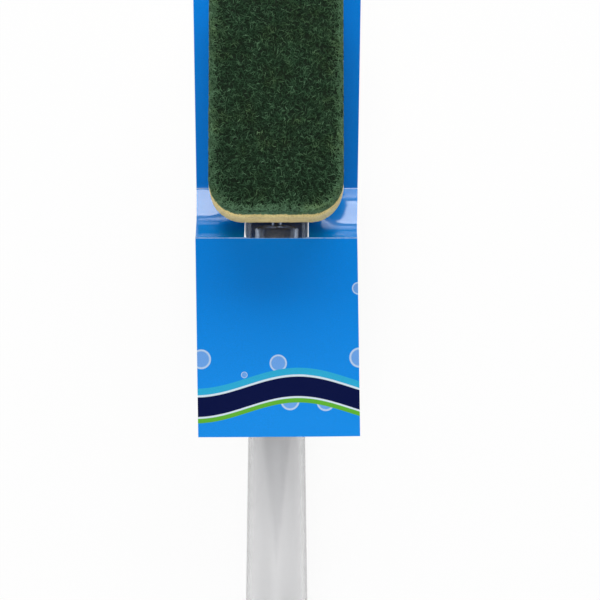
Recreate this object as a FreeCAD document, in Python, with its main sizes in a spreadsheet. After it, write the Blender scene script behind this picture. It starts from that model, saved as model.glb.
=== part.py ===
"""Refillable dish wand threaded through its retail card, lying face up.

Frame: +Y runs from the filler cap to the tip of the scouring head, +Z is up and X is
across the wand, which is symmetrical about x = 0. The card's underside lies on z = 0,
and the length over the card and the cap's lug is centred on y = 0. Millimetres.

Two local frames are used before the pieces are placed:
  handle frame: origin on the grip's axis at the shoulder where the cap's skirt ends;
  head frame: origin where the refill's neck end meets the rail, +Y along the rail's
  sloping top and +Z square to it.
"""
import FreeCAD, Part
import os

import Sketcher

SIZES = {
    # Refill: scouring pad, sponge and the plate that carries them
    "refill_width": 57.0,
    "refill_length": 110.0,
    "refill_corner_radius": 14.4,
    "pad_thickness": 8.0,
    "pad_edge_bevel": 1.2,
    "sponge_thickness": 18.0,
    "plate_inset": 2.0,
    "plate_thickness": 2.4,
    "soap_hole_diameter": 9.0,
    "soap_well_depth": 9.0,
    "stiffener_width": 1.8,
    "stiffener_height": 2.0,
    "stiffener_length": 84.0,
    "stiffener_spacing": 42.0,
    # Rail on the neck, and the plate's grooves that slide on it
    "rail_width": 27.0,
    "rail_thickness": 2.4,
    "rail_length": 52.0,
    "rail_root_length": 13.0,
    "rail_root_radius": 9.0,
    "rail_tip_radius": 4.0,
    "rail_clearance": 0.2,
    "groove_start": 6.0,
    "groove_wall": 1.8,
    "groove_lip": 1.6,
    "groove_reach": 1.9,
    "stop_wall": 2.0,
    # Handle: grip, neck and the spine under the rail
    "head_tilt": 6.5,
    "rail_height": 5.4,
    "handle_length": 172.0,
    "grip_end_diameter": 26.8,
    "waist_diameter": 23.4,
    "waist_position": 122.0,
    "grip_wall": 2.0,
    "neck_width": 24.4,
    "neck_height": 16.4,
    "neck_drop": 3.0,
    "neck_wall": 2.8,
    "reservoir_end_gap": 3.5,
    "reservoir_dome": 2.4,
    "spine_width": 22.0,
    "spine_length": 50.0,
    "spine_shoulder": 10.0,
    "spine_nose": 4.0,
    "spine_edge_radius": 2.5,
    "spine_root_length": 22.0,
    "spine_root_height": 7.0,
    "spine_root_depth": 5.0,
    "spine_wall": 2.0,
    "core_start": 12.0,
    "core_length": 28.0,
    "core_roof": 3.4,
    # Detergent path and its valve
    "duct_diameter": 4.5,
    "duct_depth": 7.5,
    "outlet_position": 28.0,
    "valve_diameter": 9.6,
    "valve_thickness": 1.0,
    "valve_cup_diameter": 4.0,
    "valve_cup_depth": 1.6,
    "valve_clearance": 0.1,
    "ring_thickness": 1.4,
    "ring_opening": 6.4,
    "ring_recess": 0.2,
    # Filler mouth, cap and liner
    "spout_diameter": 22.6,
    "spout_length": 13.0,
    "spout_wall": 1.5,
    "shoulder_length": 4.0,
    "thread_clearance": 0.5,
    "cap_diameter": 27.0,
    "cap_top": 2.6,
    "cap_edge_bevel": 1.6,
    "cap_rim_gap": 0.3,
    "flute_count": 24.0,
    "flute_radius": 1.0,
    "flute_depth": 0.6,
    "flute_margin": 2.5,
    "liner_thickness": 1.2,
    "lug_length": 14.0,
    "lug_width": 16.0,
    "lug_thickness": 5.0,
    "lug_corner_radius": 6.0,
    "hang_hole_diameter": 7.0,
    "hang_hole_margin": 7.5,
    # Retail card
    "card_thickness": 0.5,
    "card_clearance": 0.3,
    "card_width": 69.2,
    "crease_width": 70.8,
    "header_width": 74.9,
    "front_panel_length": 85.0,
    "front_panel_gap": 7.2,
    "slope_run": 22.5,
    "slope_bow": 3.3,
    "header_length": 28.0,
    "peg_hole_diameter": 8.0,
    "peg_hole_margin": 11.0,
}

# Levels and stations that several pieces share, as expressions on the sheet
GIRTH = "max(dims.cap_diameter; dims.grip_end_diameter)"
AXIS_Z = f"(dims.card_thickness + dims.card_clearance + {GIRTH} / 2)"
CAP_HEIGHT = "(dims.spout_length + dims.liner_thickness + dims.cap_top)"
REFILL_REACH = "(dims.refill_length * cos(dims.head_tilt))"
OVERALL = f"(dims.lug_length + {CAP_HEIGHT} + dims.handle_length + {REFILL_REACH} + dims.header_length)"
SHOULDER_Y = f"(dims.lug_length + {CAP_HEIGHT} - {OVERALL} / 2)"
HEAD_Y = f"({SHOULDER_Y} + dims.handle_length)"
HEAD_Z = f"({AXIS_Z} + dims.rail_height)"
PLATE_TOP = "(dims.rail_clearance + dims.plate_thickness)"
SPONGE_TOP = f"({PLATE_TOP} + dims.sponge_thickness)"
GROOVE_DEPTH = "(dims.rail_thickness + 2 * dims.rail_clearance + dims.groove_lip)"
SPOUT_BORE = "(dims.spout_diameter / 2 - dims.spout_wall)"
WAIST_RADIUS = "(dims.waist_diameter / 2)"
WAIST_BORE = "(dims.waist_diameter / 2 - dims.grip_wall)"
GRIP_BORE = "(dims.grip_end_diameter / 2 - dims.grip_wall)"
FLOOR_Z = f"(-{GIRTH} / 2)"
FRONT_Z = f"({AXIS_Z} + {GIRTH} / 2 + dims.card_clearance)"

# Steps between the sections of the neck, outside and inside
NECK_STEPS = 8
RESERVOIR_STEPS = 5

# Angles of the sections that round the reservoir's end off
DOME_ANGLES = (30, 60)

UPRIGHT = FreeCAD.Rotation(FreeCAD.Vector(1, 0, 0), 90)
ACROSS = FreeCAD.Vector(1, 0, 0)

doc = FreeCAD.newDocument("dish_wand")


def make_sheet():
    """Spreadsheet with one aliased cell for each driving size."""
    sheet = doc.addObject("Spreadsheet::Sheet", "dims")
    for row, (alias, value) in enumerate(SIZES.items(), start=1):
        sheet.set(f"A{row}", str(value))
        sheet.setAlias(f"A{row}", alias)
    doc.recompute()
    return sheet


def value_of(expression):
    """Present value of an expression on the sheet, in millimetres or degrees."""
    result = sheet.evalExpression(expression)
    return float(getattr(result, "Value", result))


def bind(item, **expressions):
    """Tie properties to the sheet; a double underscore stands for a dot in the path."""
    for path, expression in expressions.items():
        item.setExpression(path.replace("__", "."), expression)
    return item


def place(item, y="0", z="0", tilt=None):
    """Put an object at (0, y, z), turned about X by the expression tilt where one is given."""
    if tilt:
        item.Placement.Rotation = FreeCAD.Rotation(ACROSS, value_of(tilt))
        item.setExpression("Placement.Rotation.Angle", f"({tilt}) * 1 deg")
    return bind(item, Placement__Base__y=y, Placement__Base__z=z)


def place_in_head(item):
    """Carry a piece modelled in the head frame to its place on the rail."""
    return place(item, HEAD_Y, HEAD_Z, "-dims.head_tilt")


def new_body(name):
    """Empty PartDesign body."""
    return doc.addObject("PartDesign::Body", name)


def new_sketch(body, name, plane):
    """Sketch on one of the body's own origin planes."""
    sketch = body.newObject("Sketcher::SketchObject", name)
    support = next(f for f in body.Origin.OriginFeatures if f.Role == plane)
    sketch.AttachmentSupport = [(support, "")]
    sketch.MapMode = "FlatFace"
    return sketch


def fix_point(sketch, geometry, vertex, x, y):
    """Dimension one sketch point from the origin with two expressions."""
    for kind, expression in (("DistanceX", x), ("DistanceY", y)):
        size = value_of(expression)
        index = sketch.addConstraint(Sketcher.Constraint(kind, -1, 1, geometry, vertex, size))
        sketch.setExpression(f"Constraints[{index}]", expression)


def add_outline(sketch, points):
    """Closed straight-sided outline through points given as pairs of expressions."""
    corners = [FreeCAD.Vector(value_of(x), value_of(y), 0) for x, y in points]
    first = sketch.GeometryCount
    count = len(points)
    for start, end in zip(corners, corners[1:] + corners[:1]):
        sketch.addGeometry(Part.LineSegment(start, end), False)
    for i in range(count):
        after = first + (i + 1) % count
        sketch.addConstraint(Sketcher.Constraint("Coincident", first + i, 2, after, 1))
    for i, (x, y) in enumerate(points):
        fix_point(sketch, first + i, 1, x, y)


def add_rectangle(sketch, x_low, x_high, y_low, y_high):
    """Rectangle between four expressions."""
    add_outline(sketch, [(x_low, y_low), (x_high, y_low), (x_high, y_high), (x_low, y_high)])


def add_circle(sketch, x, y, radius):
    """Circle about a point, all three sizes as expressions."""
    centre = FreeCAD.Vector(value_of(x), value_of(y), 0)
    index = sketch.addGeometry(Part.Circle(centre, FreeCAD.Vector(0, 0, 1), value_of(radius)), False)
    fix_point(sketch, index, 3, x, y)
    rule = sketch.addConstraint(Sketcher.Constraint("Radius", index, value_of(radius)))
    sketch.setExpression(f"Constraints[{rule}]", radius)


def raise_sketch(sketch, height):
    """Lift a sketch off its plane by an expression."""
    sketch.setExpression("AttachmentOffset.Base.z", height)


def add_feature(body, kind, name, sketch, length, reverse=False, symmetric=False):
    """Pad or Pocket of a sketch through a bound length."""
    feature = body.newObject(f"PartDesign::{kind}", name)
    feature.Profile = sketch
    feature.Reversed = reverse
    feature.SideType = "Symmetric" if symmetric else "One side"
    bind(feature, Length=length)
    doc.recompute()
    return feature


def edges_where(shape, test):
    """Names of the edges whose middle point and direction pass a test."""
    names = []
    for number, edge in enumerate(shape.Edges, start=1):
        middle = edge.valueAt((edge.FirstParameter + edge.LastParameter) / 2)
        along = edge.tangentAt((edge.FirstParameter + edge.LastParameter) / 2)
        if test(middle, along):
            names.append(f"Edge{number}")
    return names


def add_fillet(body, name, base, test, radius):
    """Round the edges of a feature that pass a test."""
    fillet = body.newObject("PartDesign::Fillet", name)
    fillet.Base = (base, edges_where(base.Shape, test))
    bind(fillet, Radius=radius)
    doc.recompute()
    return fillet


def add_bevel(body, name, base, test, size):
    """Chamfer the edges of a feature that pass a test."""
    bevel = body.newObject("PartDesign::Chamfer", name)
    bevel.Base = (base, edges_where(base.Shape, test))
    bind(bevel, Size=size)
    doc.recompute()
    return bevel


def is_vertical(middle, along):
    """True for an edge parallel to the body's Z axis."""
    return abs(along.z) > 0.999


def combine(kind, name, base, tools):
    """Boolean of a base with one or several tools, in order."""
    result = base
    for number, tool in enumerate(tools):
        step = doc.addObject(f"Part::{kind}", name if number == len(tools) - 1 else f"{name}_{number}")
        step.Base = result
        step.Tool = tool
        result = step
    return result


def make_loft(name, stations):
    """Solid through upright ellipses; a station is (y, z, half width, half height)."""
    sections = []
    for number, (y, z, half_width, half_height) in enumerate(stations):
        ellipse = doc.addObject("Part::Ellipse", f"{name}_section_{number}")
        ellipse.Placement.Rotation = UPRIGHT
        bind(ellipse, MajorRadius=half_width, MinorRadius=half_height)
        sections.append(place(ellipse, y, z))
    loft = doc.addObject("Part::Loft", name)
    loft.Sections = sections
    loft.Solid = True
    loft.Ruled = True
    return loft


def on_rail(distance, depth="0"):
    """Handle-frame (y, z) of a point along the rail's top and below it."""
    y = f"dims.handle_length + ({distance}) * cos(dims.head_tilt) - ({depth}) * sin(dims.head_tilt)"
    z = f"dims.rail_height - ({distance}) * sin(dims.head_tilt) - ({depth}) * cos(dims.head_tilt)"
    return f"({y})", f"({z})"


def neck_stations(waist_radius, end, half_width, half_height, steps):
    """Sections that flatten gradually from the round waist to the oval where the rail begins."""
    stations = []
    for step in range(steps + 1):
        share = step / steps
        ease = share * share * (3 - 2 * share)
        stations.append((
            f"dims.waist_position + ({end} - dims.waist_position) * {share}",
            f"-dims.neck_drop * {ease}",
            f"{waist_radius} + ({half_width} - {waist_radius}) * {ease}",
            f"{waist_radius} + ({half_height} - {waist_radius}) * {ease}",
        ))
    return stations


def make_grip():
    """Tube turned about the grip's axis: filler spout, shoulder and straight taper to the waist."""
    body = new_body("grip")
    sketch = new_sketch(body, "grip_profile", "YZ_Plane")
    add_outline(sketch, [
        ("-dims.spout_length", SPOUT_BORE),
        ("-dims.spout_length", "dims.spout_diameter / 2"),
        ("0", "dims.spout_diameter / 2"),
        ("0", "dims.grip_end_diameter / 2"),
        ("dims.waist_position", WAIST_RADIUS),
        ("dims.waist_position", WAIST_BORE),
        ("dims.shoulder_length", GRIP_BORE),
        ("0", SPOUT_BORE),
    ])
    tube = body.newObject("PartDesign::Revolution", "grip_tube")
    tube.Profile = sketch
    tube.ReferenceAxis = (sketch, ["H_Axis"])
    tube.Angle = 360
    return body


def make_reservoir_end():
    """Detergent space in the neck: from the waist's bore to a shallow dome."""
    end = "(dims.handle_length - dims.reservoir_end_gap)"
    half_width = "(dims.neck_width / 2 - dims.neck_wall)"
    half_height = "(dims.neck_height / 2 - dims.neck_wall)"
    stations = neck_stations(WAIST_BORE, end, half_width, half_height, RESERVOIR_STEPS)
    for angle in DOME_ANGLES:
        stations.append((
            f"{end} + dims.reservoir_dome * sin({angle})",
            "-dims.neck_drop",
            f"{half_width} * cos({angle})",
            f"{half_height} * cos({angle})",
        ))
    return make_loft("reservoir_end", stations)


def make_spine():
    """Wedge under the rail that stiffens it and rests on the table."""
    body = new_body("spine")
    root_y = "dims.handle_length - dims.spine_root_length"
    nose_y, nose_z = on_rail("dims.spine_length")
    back_y, back_z = on_rail("-dims.spine_shoulder")
    sketch = new_sketch(body, "spine_profile", "YZ_Plane")
    add_outline(sketch, [
        (root_y, "-dims.spine_root_depth"),
        ("dims.handle_length + dims.spine_shoulder", FLOOR_Z),
        (f"{nose_y} - dims.spine_nose", FLOOR_Z),
        (nose_y, nose_z),
        (back_y, back_z),
        (root_y, "dims.spine_root_height - dims.spine_root_depth"),
    ])
    pad = add_feature(body, "Pad", "spine_pad", sketch, "dims.spine_width", symmetric=True)
    low = value_of(FLOOR_Z) / 2
    shoulder = value_of("dims.handle_length")
    add_fillet(body, "spine_edges", pad, lambda m, a: m.z < low and m.y > shoulder, "dims.spine_edge_radius")
    return body


def make_rail():
    """Flat tongue on top of the spine whose overhanging edges carry the refill."""
    body = new_body("rail")
    sketch = new_sketch(body, "rail_plan", "XY_Plane")
    add_rectangle(sketch, "-dims.rail_width / 2", "dims.rail_width / 2",
                  "-dims.rail_root_length", "dims.rail_length")
    pad = add_feature(body, "Pad", "rail_pad", sketch, "dims.rail_thickness", reverse=True)
    root = add_fillet(body, "rail_root", pad, lambda m, a: is_vertical(m, a) and m.y < 0,
                      "dims.rail_root_radius")
    middle = value_of("dims.rail_length / 2")
    add_fillet(body, "rail_tip", root, lambda m, a: is_vertical(m, a) and m.y > middle,
               "dims.rail_tip_radius")
    return place(body, "dims.handle_length", "dims.rail_height", "-dims.head_tilt")


def make_core_pockets():
    """Two pockets that hollow the spine from below, either side of the duct."""
    body = new_body("core_pockets")
    sketch = new_sketch(body, "core_plan", "XY_Plane")
    raise_sketch(sketch, "-dims.core_roof")
    inner = "(dims.duct_diameter / 2 + dims.spine_wall)"
    outer = "(dims.spine_width / 2 - dims.spine_wall)"
    end = "dims.core_start + dims.core_length"
    add_rectangle(sketch, inner, outer, "dims.core_start", end)
    add_rectangle(sketch, f"-{outer}", f"-{inner}", "dims.core_start", end)
    add_feature(body, "Pad", "core_pad", sketch, GIRTH, reverse=True)
    return place(body, "dims.handle_length", "dims.rail_height", "-dims.head_tilt")


def make_detergent_path():
    """Duct along the spine, outlet up through the rail and the valve's seat."""
    body = new_body("detergent_path")
    duct = new_sketch(body, "duct_section", "XZ_Plane")
    raise_sketch(duct, "dims.reservoir_end_gap + dims.duct_diameter")
    add_circle(duct, "0", "-dims.duct_depth", "dims.duct_diameter / 2")
    run = "dims.outlet_position + dims.reservoir_end_gap + dims.duct_diameter * 1.5"
    add_feature(body, "Pad", "duct_pad", duct, run, reverse=True)
    outlet = new_sketch(body, "outlet_section", "XY_Plane")
    add_circle(outlet, "0", "dims.outlet_position", "dims.duct_diameter / 2")
    add_feature(body, "Pad", "outlet_pad", outlet, "dims.duct_depth", reverse=True)
    seat = new_sketch(body, "seat_section", "XY_Plane")
    add_circle(seat, "0", "dims.outlet_position", "dims.valve_diameter / 2 + dims.valve_clearance")
    depth = "dims.valve_thickness + dims.ring_thickness + dims.ring_recess"
    add_feature(body, "Pad", "seat_pad", seat, depth, reverse=True)
    return place(body, "dims.handle_length", "dims.rail_height", "-dims.head_tilt")


def make_neck():
    """Flattened tube with the spine and the rail, hollowed and ducted."""
    outside = neck_stations(WAIST_RADIUS, "dims.handle_length", "dims.neck_width / 2", "dims.neck_height / 2",
                            NECK_STEPS)
    solid = combine("Fuse", "neck_solid", make_loft("neck_tube", outside), [make_spine(), make_rail()])
    cuts = [make_reservoir_end(), make_core_pockets(), make_detergent_path()]
    return combine("Cut", "neck", solid, cuts)


def make_handle():
    """Clear moulding: grip and neck in one, with the detergent space running through both."""
    handle = combine("Fuse", "handle", make_grip(), [make_neck()])
    return place(handle, SHOULDER_Y, AXIS_Z)


def make_slit_valve():
    """Soft disc with a shallow cup, lying in the seat under its ring."""
    body = new_body("slit_valve")
    depth = "(dims.valve_thickness + dims.ring_thickness + dims.ring_recess)"
    disc = new_sketch(body, "valve_disc", "XY_Plane")
    raise_sketch(disc, f"-{depth}")
    add_circle(disc, "0", "dims.outlet_position", "dims.valve_diameter / 2")
    add_feature(body, "Pad", "valve_pad", disc, "dims.valve_thickness")
    cup = new_sketch(body, "valve_cup", "XY_Plane")
    raise_sketch(cup, f"-{depth}")
    add_circle(cup, "0", "dims.outlet_position", "dims.valve_cup_diameter / 2")
    add_feature(body, "Pad", "cup_pad", cup, "dims.valve_cup_depth", reverse=True)
    hollow = new_sketch(body, "cup_hollow", "XY_Plane")
    raise_sketch(hollow, f"dims.valve_thickness - {depth}")
    add_circle(hollow, "0", "dims.outlet_position", "dims.valve_cup_diameter / 2 - dims.valve_thickness / 2")
    add_feature(body, "Pocket", "hollow_pocket", hollow, "dims.valve_cup_depth + dims.valve_thickness / 2")
    return place_in_head(body)


def make_valve_ring():
    """Ring pressed into the seat over the valve."""
    body = new_body("valve_ring")
    sketch = new_sketch(body, "ring_plan", "XY_Plane")
    raise_sketch(sketch, "-dims.ring_recess")
    add_circle(sketch, "0", "dims.outlet_position", "dims.valve_diameter / 2")
    add_circle(sketch, "0", "dims.outlet_position", "dims.ring_opening / 2")
    add_feature(body, "Pad", "ring_pad", sketch, "dims.ring_thickness", reverse=True)
    return place_in_head(body)


def make_base_plate():
    """Carrier under the sponge: plate, hooked grooves, end stop, stiffeners and soap hole."""
    body = new_body("base_plate")
    half = "(dims.refill_width / 2 - dims.plate_inset)"
    plan = new_sketch(body, "plate_plan", "XY_Plane")
    raise_sketch(plan, "dims.rail_clearance")
    add_rectangle(plan, f"-{half}", half, "dims.plate_inset", "dims.refill_length - dims.plate_inset")
    pad = add_feature(body, "Pad", "plate_pad", plan, "dims.plate_thickness")
    add_fillet(body, "plate_corners", pad, is_vertical, "dims.refill_corner_radius - dims.plate_inset")

    inside = "(dims.rail_width / 2 + dims.rail_clearance)"
    outside = f"({inside} + dims.groove_wall)"
    stop_start = "(dims.rail_length + dims.rail_clearance)"
    stop_end = f"({stop_start} + dims.stop_wall)"
    walls = new_sketch(body, "groove_walls", "XY_Plane")
    raise_sketch(walls, "dims.rail_clearance")
    add_outline(walls, [
        (f"-{outside}", "dims.groove_start"), (f"-{inside}", "dims.groove_start"),
        (f"-{inside}", stop_start), (inside, stop_start),
        (inside, "dims.groove_start"), (outside, "dims.groove_start"),
        (outside, stop_end), (f"-{outside}", stop_end),
    ])
    add_feature(body, "Pad", "walls_pad", walls, GROOVE_DEPTH, reverse=True)

    lips = new_sketch(body, "groove_lips", "XY_Plane")
    raise_sketch(lips, f"dims.rail_clearance - {GROOVE_DEPTH}")
    reach = f"({inside} - dims.groove_reach)"
    for near, far in ((reach, outside), (f"-{outside}", f"-{reach}")):
        add_rectangle(lips, near, far, "dims.groove_start", stop_end)
    add_feature(body, "Pad", "lips_pad", lips, "dims.groove_lip")

    ribs = new_sketch(body, "stiffener_plan", "XY_Plane")
    raise_sketch(ribs, "dims.rail_clearance")
    rib_start = "(dims.refill_length - dims.stiffener_length) / 2"
    rib_end = "(dims.refill_length + dims.stiffener_length) / 2"
    rib_in = "(dims.stiffener_spacing - dims.stiffener_width) / 2"
    rib_out = "(dims.stiffener_spacing + dims.stiffener_width) / 2"
    add_rectangle(ribs, rib_in, rib_out, rib_start, rib_end)
    add_rectangle(ribs, f"-{rib_out}", f"-{rib_in}", rib_start, rib_end)
    add_feature(body, "Pad", "stiffener_pad", ribs, "dims.stiffener_height", reverse=True)

    hole = new_sketch(body, "soap_hole", "XY_Plane")
    raise_sketch(hole, PLATE_TOP)
    add_circle(hole, "0", "dims.outlet_position", "dims.soap_hole_diameter / 2")
    add_feature(body, "Pocket", "soap_pocket", hole, "dims.plate_thickness")
    return place_in_head(body)


def make_block(name, bottom, thickness):
    """Block over the refill's plan with round corners; gives the body and its last feature."""
    body = new_body(name)
    plan = new_sketch(body, f"{name}_plan", "XY_Plane")
    raise_sketch(plan, bottom)
    add_rectangle(plan, "-dims.refill_width / 2", "dims.refill_width / 2", "0", "dims.refill_length")
    pad = add_feature(body, "Pad", f"{name}_pad", plan, thickness)
    return body, add_fillet(body, f"{name}_corners", pad, is_vertical, "dims.refill_corner_radius")


def make_sponge():
    """Sponge block glued on the plate, with a well over the soap hole."""
    body, _ = make_block("sponge", PLATE_TOP, "dims.sponge_thickness")
    well = new_sketch(body, "soap_well", "XY_Plane")
    raise_sketch(well, PLATE_TOP)
    add_circle(well, "0", "dims.outlet_position", "dims.soap_hole_diameter / 2")
    add_feature(body, "Pocket", "well_pocket", well, "dims.soap_well_depth", reverse=True)
    return place_in_head(body)


def make_scouring_pad():
    """Abrasive non-woven pad bonded to the sponge, with the rim of its face worn round."""
    body, block = make_block("scouring_pad", SPONGE_TOP, "dims.pad_thickness")
    middle = value_of(f"{SPONGE_TOP} + dims.pad_thickness / 2")
    add_bevel(body, "pad_rim", block, lambda m, a: m.z > middle and abs(a.z) < 0.1, "dims.pad_edge_bevel")
    return place_in_head(body)


def make_end_cap():
    """Screw cap with a fluted skirt."""
    body = new_body("end_cap")
    outline = new_sketch(body, "cap_outline", "XY_Plane")
    raise_sketch(outline, "dims.cap_rim_gap")
    add_circle(outline, "0", "0", "dims.cap_diameter / 2")
    pad = add_feature(body, "Pad", "cap_pad", outline, f"{CAP_HEIGHT} - dims.cap_rim_gap")
    middle = value_of(CAP_HEIGHT) / 2
    add_bevel(body, "cap_edge", pad, lambda m, a: m.z > middle and abs(a.z) < 0.1, "dims.cap_edge_bevel")

    bore = new_sketch(body, "cap_bore", "XY_Plane")
    add_circle(bore, "0", "0", "dims.spout_diameter / 2 + dims.thread_clearance")
    add_feature(body, "Pocket", "bore_pocket", bore, "dims.spout_length + dims.liner_thickness", reverse=True)

    flute = new_sketch(body, "flute_section", "XY_Plane")
    add_circle(flute, "0", "dims.cap_diameter / 2 + dims.flute_radius - dims.flute_depth", "dims.flute_radius")
    cut = add_feature(body, "Pocket", "flute_pocket", flute, f"{CAP_HEIGHT} - dims.flute_margin", reverse=True)
    ring = body.newObject("PartDesign::PolarPattern", "flutes")
    ring.Originals = [cut]
    ring.Axis = (flute, ["N_Axis"])
    ring.Angle = 360
    bind(ring, Occurrences="dims.flute_count")
    body.Tip = ring
    doc.recompute()
    return place(body, SHOULDER_Y, AXIS_Z, "90")


def make_hang_lug():
    """Flat lug on the cap's end to hang the wand by."""
    body = new_body("hang_lug")
    plan = new_sketch(body, "lug_plan", "XZ_Plane")
    end = f"({CAP_HEIGHT} + dims.lug_length)"
    add_rectangle(plan, "-dims.lug_width / 2", "dims.lug_width / 2", CAP_HEIGHT, end)
    pad = add_feature(body, "Pad", "lug_pad", plan, "dims.lug_thickness", symmetric=True)
    middle = value_of(f"{CAP_HEIGHT} + dims.lug_length / 2")
    add_fillet(body, "lug_corners", pad, lambda m, a: abs(a.y) > 0.999 and m.z > middle,
               "dims.lug_corner_radius")
    hole = new_sketch(body, "hang_hole", "XZ_Plane")
    add_circle(hole, "0", f"{end} - dims.hang_hole_margin", "dims.hang_hole_diameter / 2")
    add_feature(body, "Pocket", "hang_pocket", hole, "2 * dims.lug_thickness", symmetric=True)
    return place(body, SHOULDER_Y, AXIS_Z, "90")


def make_cap_liner():
    """Sealing disc between the spout's rim and the cap's inner face."""
    liner = doc.addObject("Part::Cylinder", "cap_liner")
    liner.Placement.Rotation = UPRIGHT
    bind(liner, Radius="dims.spout_diameter / 2", Height="dims.liner_thickness")
    return place(liner, f"{SHOULDER_Y} - dims.spout_length", AXIS_Z)


def add_bowed_strip(sketch, corners, radius):
    """Strip between two alike arcs; corners are low and high front, then low and high back."""
    points = [FreeCAD.Vector(value_of(y), value_of(z), 0) for y, z in corners]
    size = value_of(radius)
    low_front, high_front, low_back, high_back = points
    for front, back in ((low_front, low_back), (high_front, high_back)):
        chord = back - front
        rise = FreeCAD.Vector(-chord.y, chord.x, 0).normalize()
        centre = (front + back) / 2 + rise * (size ** 2 - chord.Length ** 2 / 4) ** 0.5
        circle = Part.Circle(centre, FreeCAD.Vector(0, 0, 1), size)
        sketch.addGeometry(Part.ArcOfCircle(circle, circle.parameter(front), circle.parameter(back)), False)
    sketch.addGeometry(Part.LineSegment(low_back, high_back), False)
    sketch.addGeometry(Part.LineSegment(high_front, low_front), False)
    for joined in ((0, 2, 2, 1), (2, 2, 1, 2), (1, 1, 3, 1), (3, 2, 0, 1)):
        sketch.addConstraint(Sketcher.Constraint("Coincident", *joined))
    for arc, vertex, (y, z) in zip((0, 1, 0, 1), (1, 1, 2, 2), corners):
        fix_point(sketch, arc, vertex, y, z)
    for arc in (0, 1):
        rule = sketch.addConstraint(Sketcher.Constraint("Radius", arc, size))
        sketch.setExpression(f"Constraints[{rule}]", radius)


def make_card():
    """Folded card as its panels: raised front, bowed slope with a window, and back with header.

    The window is cut on three sides only, so its flap stays flat under the neck, in the plane of the back.
    """
    top = f"({HEAD_Y} + {REFILL_REACH} + dims.header_length)"
    front_crease = f"({HEAD_Y} - dims.front_panel_gap)"
    front_end = f"({front_crease} - dims.front_panel_length)"
    back_crease = f"({front_crease} + dims.slope_run)"
    bend = f"(dims.card_thickness * tan(atan({FRONT_Z} / dims.slope_run) / 2))"
    thick = "dims.card_thickness"
    low_front, high_front = (front_crease, FRONT_Z), (f"{front_crease} + {bend}", f"{FRONT_Z} + {thick}")
    low_back, high_back = (back_crease, "0"), (f"{back_crease} + {bend}", thick)

    outline = new_body("card_outline")
    plan = new_sketch(outline, "card_plan", "XY_Plane")
    front, crease, head = "dims.card_width / 2", "dims.crease_width / 2", "dims.header_width / 2"
    add_outline(plan, [
        (f"-{front}", front_end), (front, front_end), (front, front_crease), (crease, back_crease),
        (head, top), (f"-{head}", top), (f"-{crease}", back_crease), (f"-{front}", front_crease),
    ])
    window = f"(max({GIRTH}; dims.rail_width) / 2 + dims.card_clearance)"
    add_rectangle(plan, f"-{window}", window, front_crease, f"{back_crease} + {bend}")
    add_circle(plan, "0", f"{top} - dims.peg_hole_margin", "dims.peg_hole_diameter / 2")
    add_feature(outline, "Pad", "plan_pad", plan, f"{FRONT_Z} + 2 * {thick}")

    chord = f"({FRONT_Z}^2 + dims.slope_run^2)"
    flap = new_body("window_flap")
    flap_plan = new_sketch(flap, "flap_plan", "XY_Plane")
    flap_half = f"({window} - dims.card_clearance)"
    flap_end = f"({back_crease} + {bend})"
    add_rectangle(flap_plan, f"-{flap_half}", flap_half, f"{flap_end} - sqrt({chord})", flap_end)
    add_feature(flap, "Pad", "flap_pad", flap_plan, thick)

    panels = []
    for name in ("card_front", "card_slope", "card_back"):
        fold = new_body(f"{name}_fold")
        profile = new_sketch(fold, f"{name}_profile", "YZ_Plane")
        if name == "card_front":
            add_outline(profile, [low_front, high_front, (front_end, high_front[1]), (front_end, FRONT_Z)])
        elif name == "card_back":
            add_outline(profile, [low_back, (top, "0"), (top, thick), high_back])
        else:
            radius = f"({chord} / 4 + dims.slope_bow^2) / (2 * dims.slope_bow)"
            add_bowed_strip(profile, (low_front, high_front, low_back, high_back), radius)
        add_feature(fold, "Pad", f"{name}_pad", profile, "2 * dims.header_width", symmetric=True)
        if name == "card_back":
            panels.append(combine("Fuse", name, combine("Common", "back_panel", fold, [outline]), [flap]))
        else:
            panels.append(combine("Common", name, fold, [outline]))
    return panels


def check_document():
    """Stop if any object failed to recompute."""
    for item in doc.Objects:
        if "Invalid" in item.State or "Error" in item.State:
            raise RuntimeError(f"{item.Name} failed: {item.State}")


def export(nodes):
    """Write each finished sub-part to its own STEP file."""
    for node in nodes:
        shape = node.Shape
        if shape.isNull() or not shape.isValid():
            raise RuntimeError(f"{node.Label} has no valid shape")
    os.makedirs("parts", exist_ok=True)
    for node in nodes:
        node.Shape.exportStep(os.path.join("parts", f"{node.Label}.step"))
        box = node.Shape.optimalBoundingBox(False, False)
        print(node.Label, len(node.Shape.Solids), round(node.Shape.Volume, 1), box)


sheet = make_sheet()
parts = [
    make_handle(),
    make_slit_valve(),
    make_valve_ring(),
    make_base_plate(),
    make_sponge(),
    make_scouring_pad(),
    make_end_cap(),
    make_hang_lug(),
    make_cap_liner(),
] + make_card()
doc.recompute()
check_document()
export(parts)
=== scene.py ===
"""Dish wand threaded through its folded retail card: finishes, soft pieces and studio.

Lengths are metres in the frame's own axes: +Y runs from the filler cap to the tip of the
scouring head, +Z is up, and the wand is symmetrical about x = 0.
"""

import logging
import math
import random
from collections.abc import Iterable, Sequence
from dataclasses import dataclass, field
from enum import Enum

import bmesh
import bpy
from bmesh.types import BMEdge, BMesh, BMFace, BMVert
from mathutils import Matrix, Vector, noise

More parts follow.
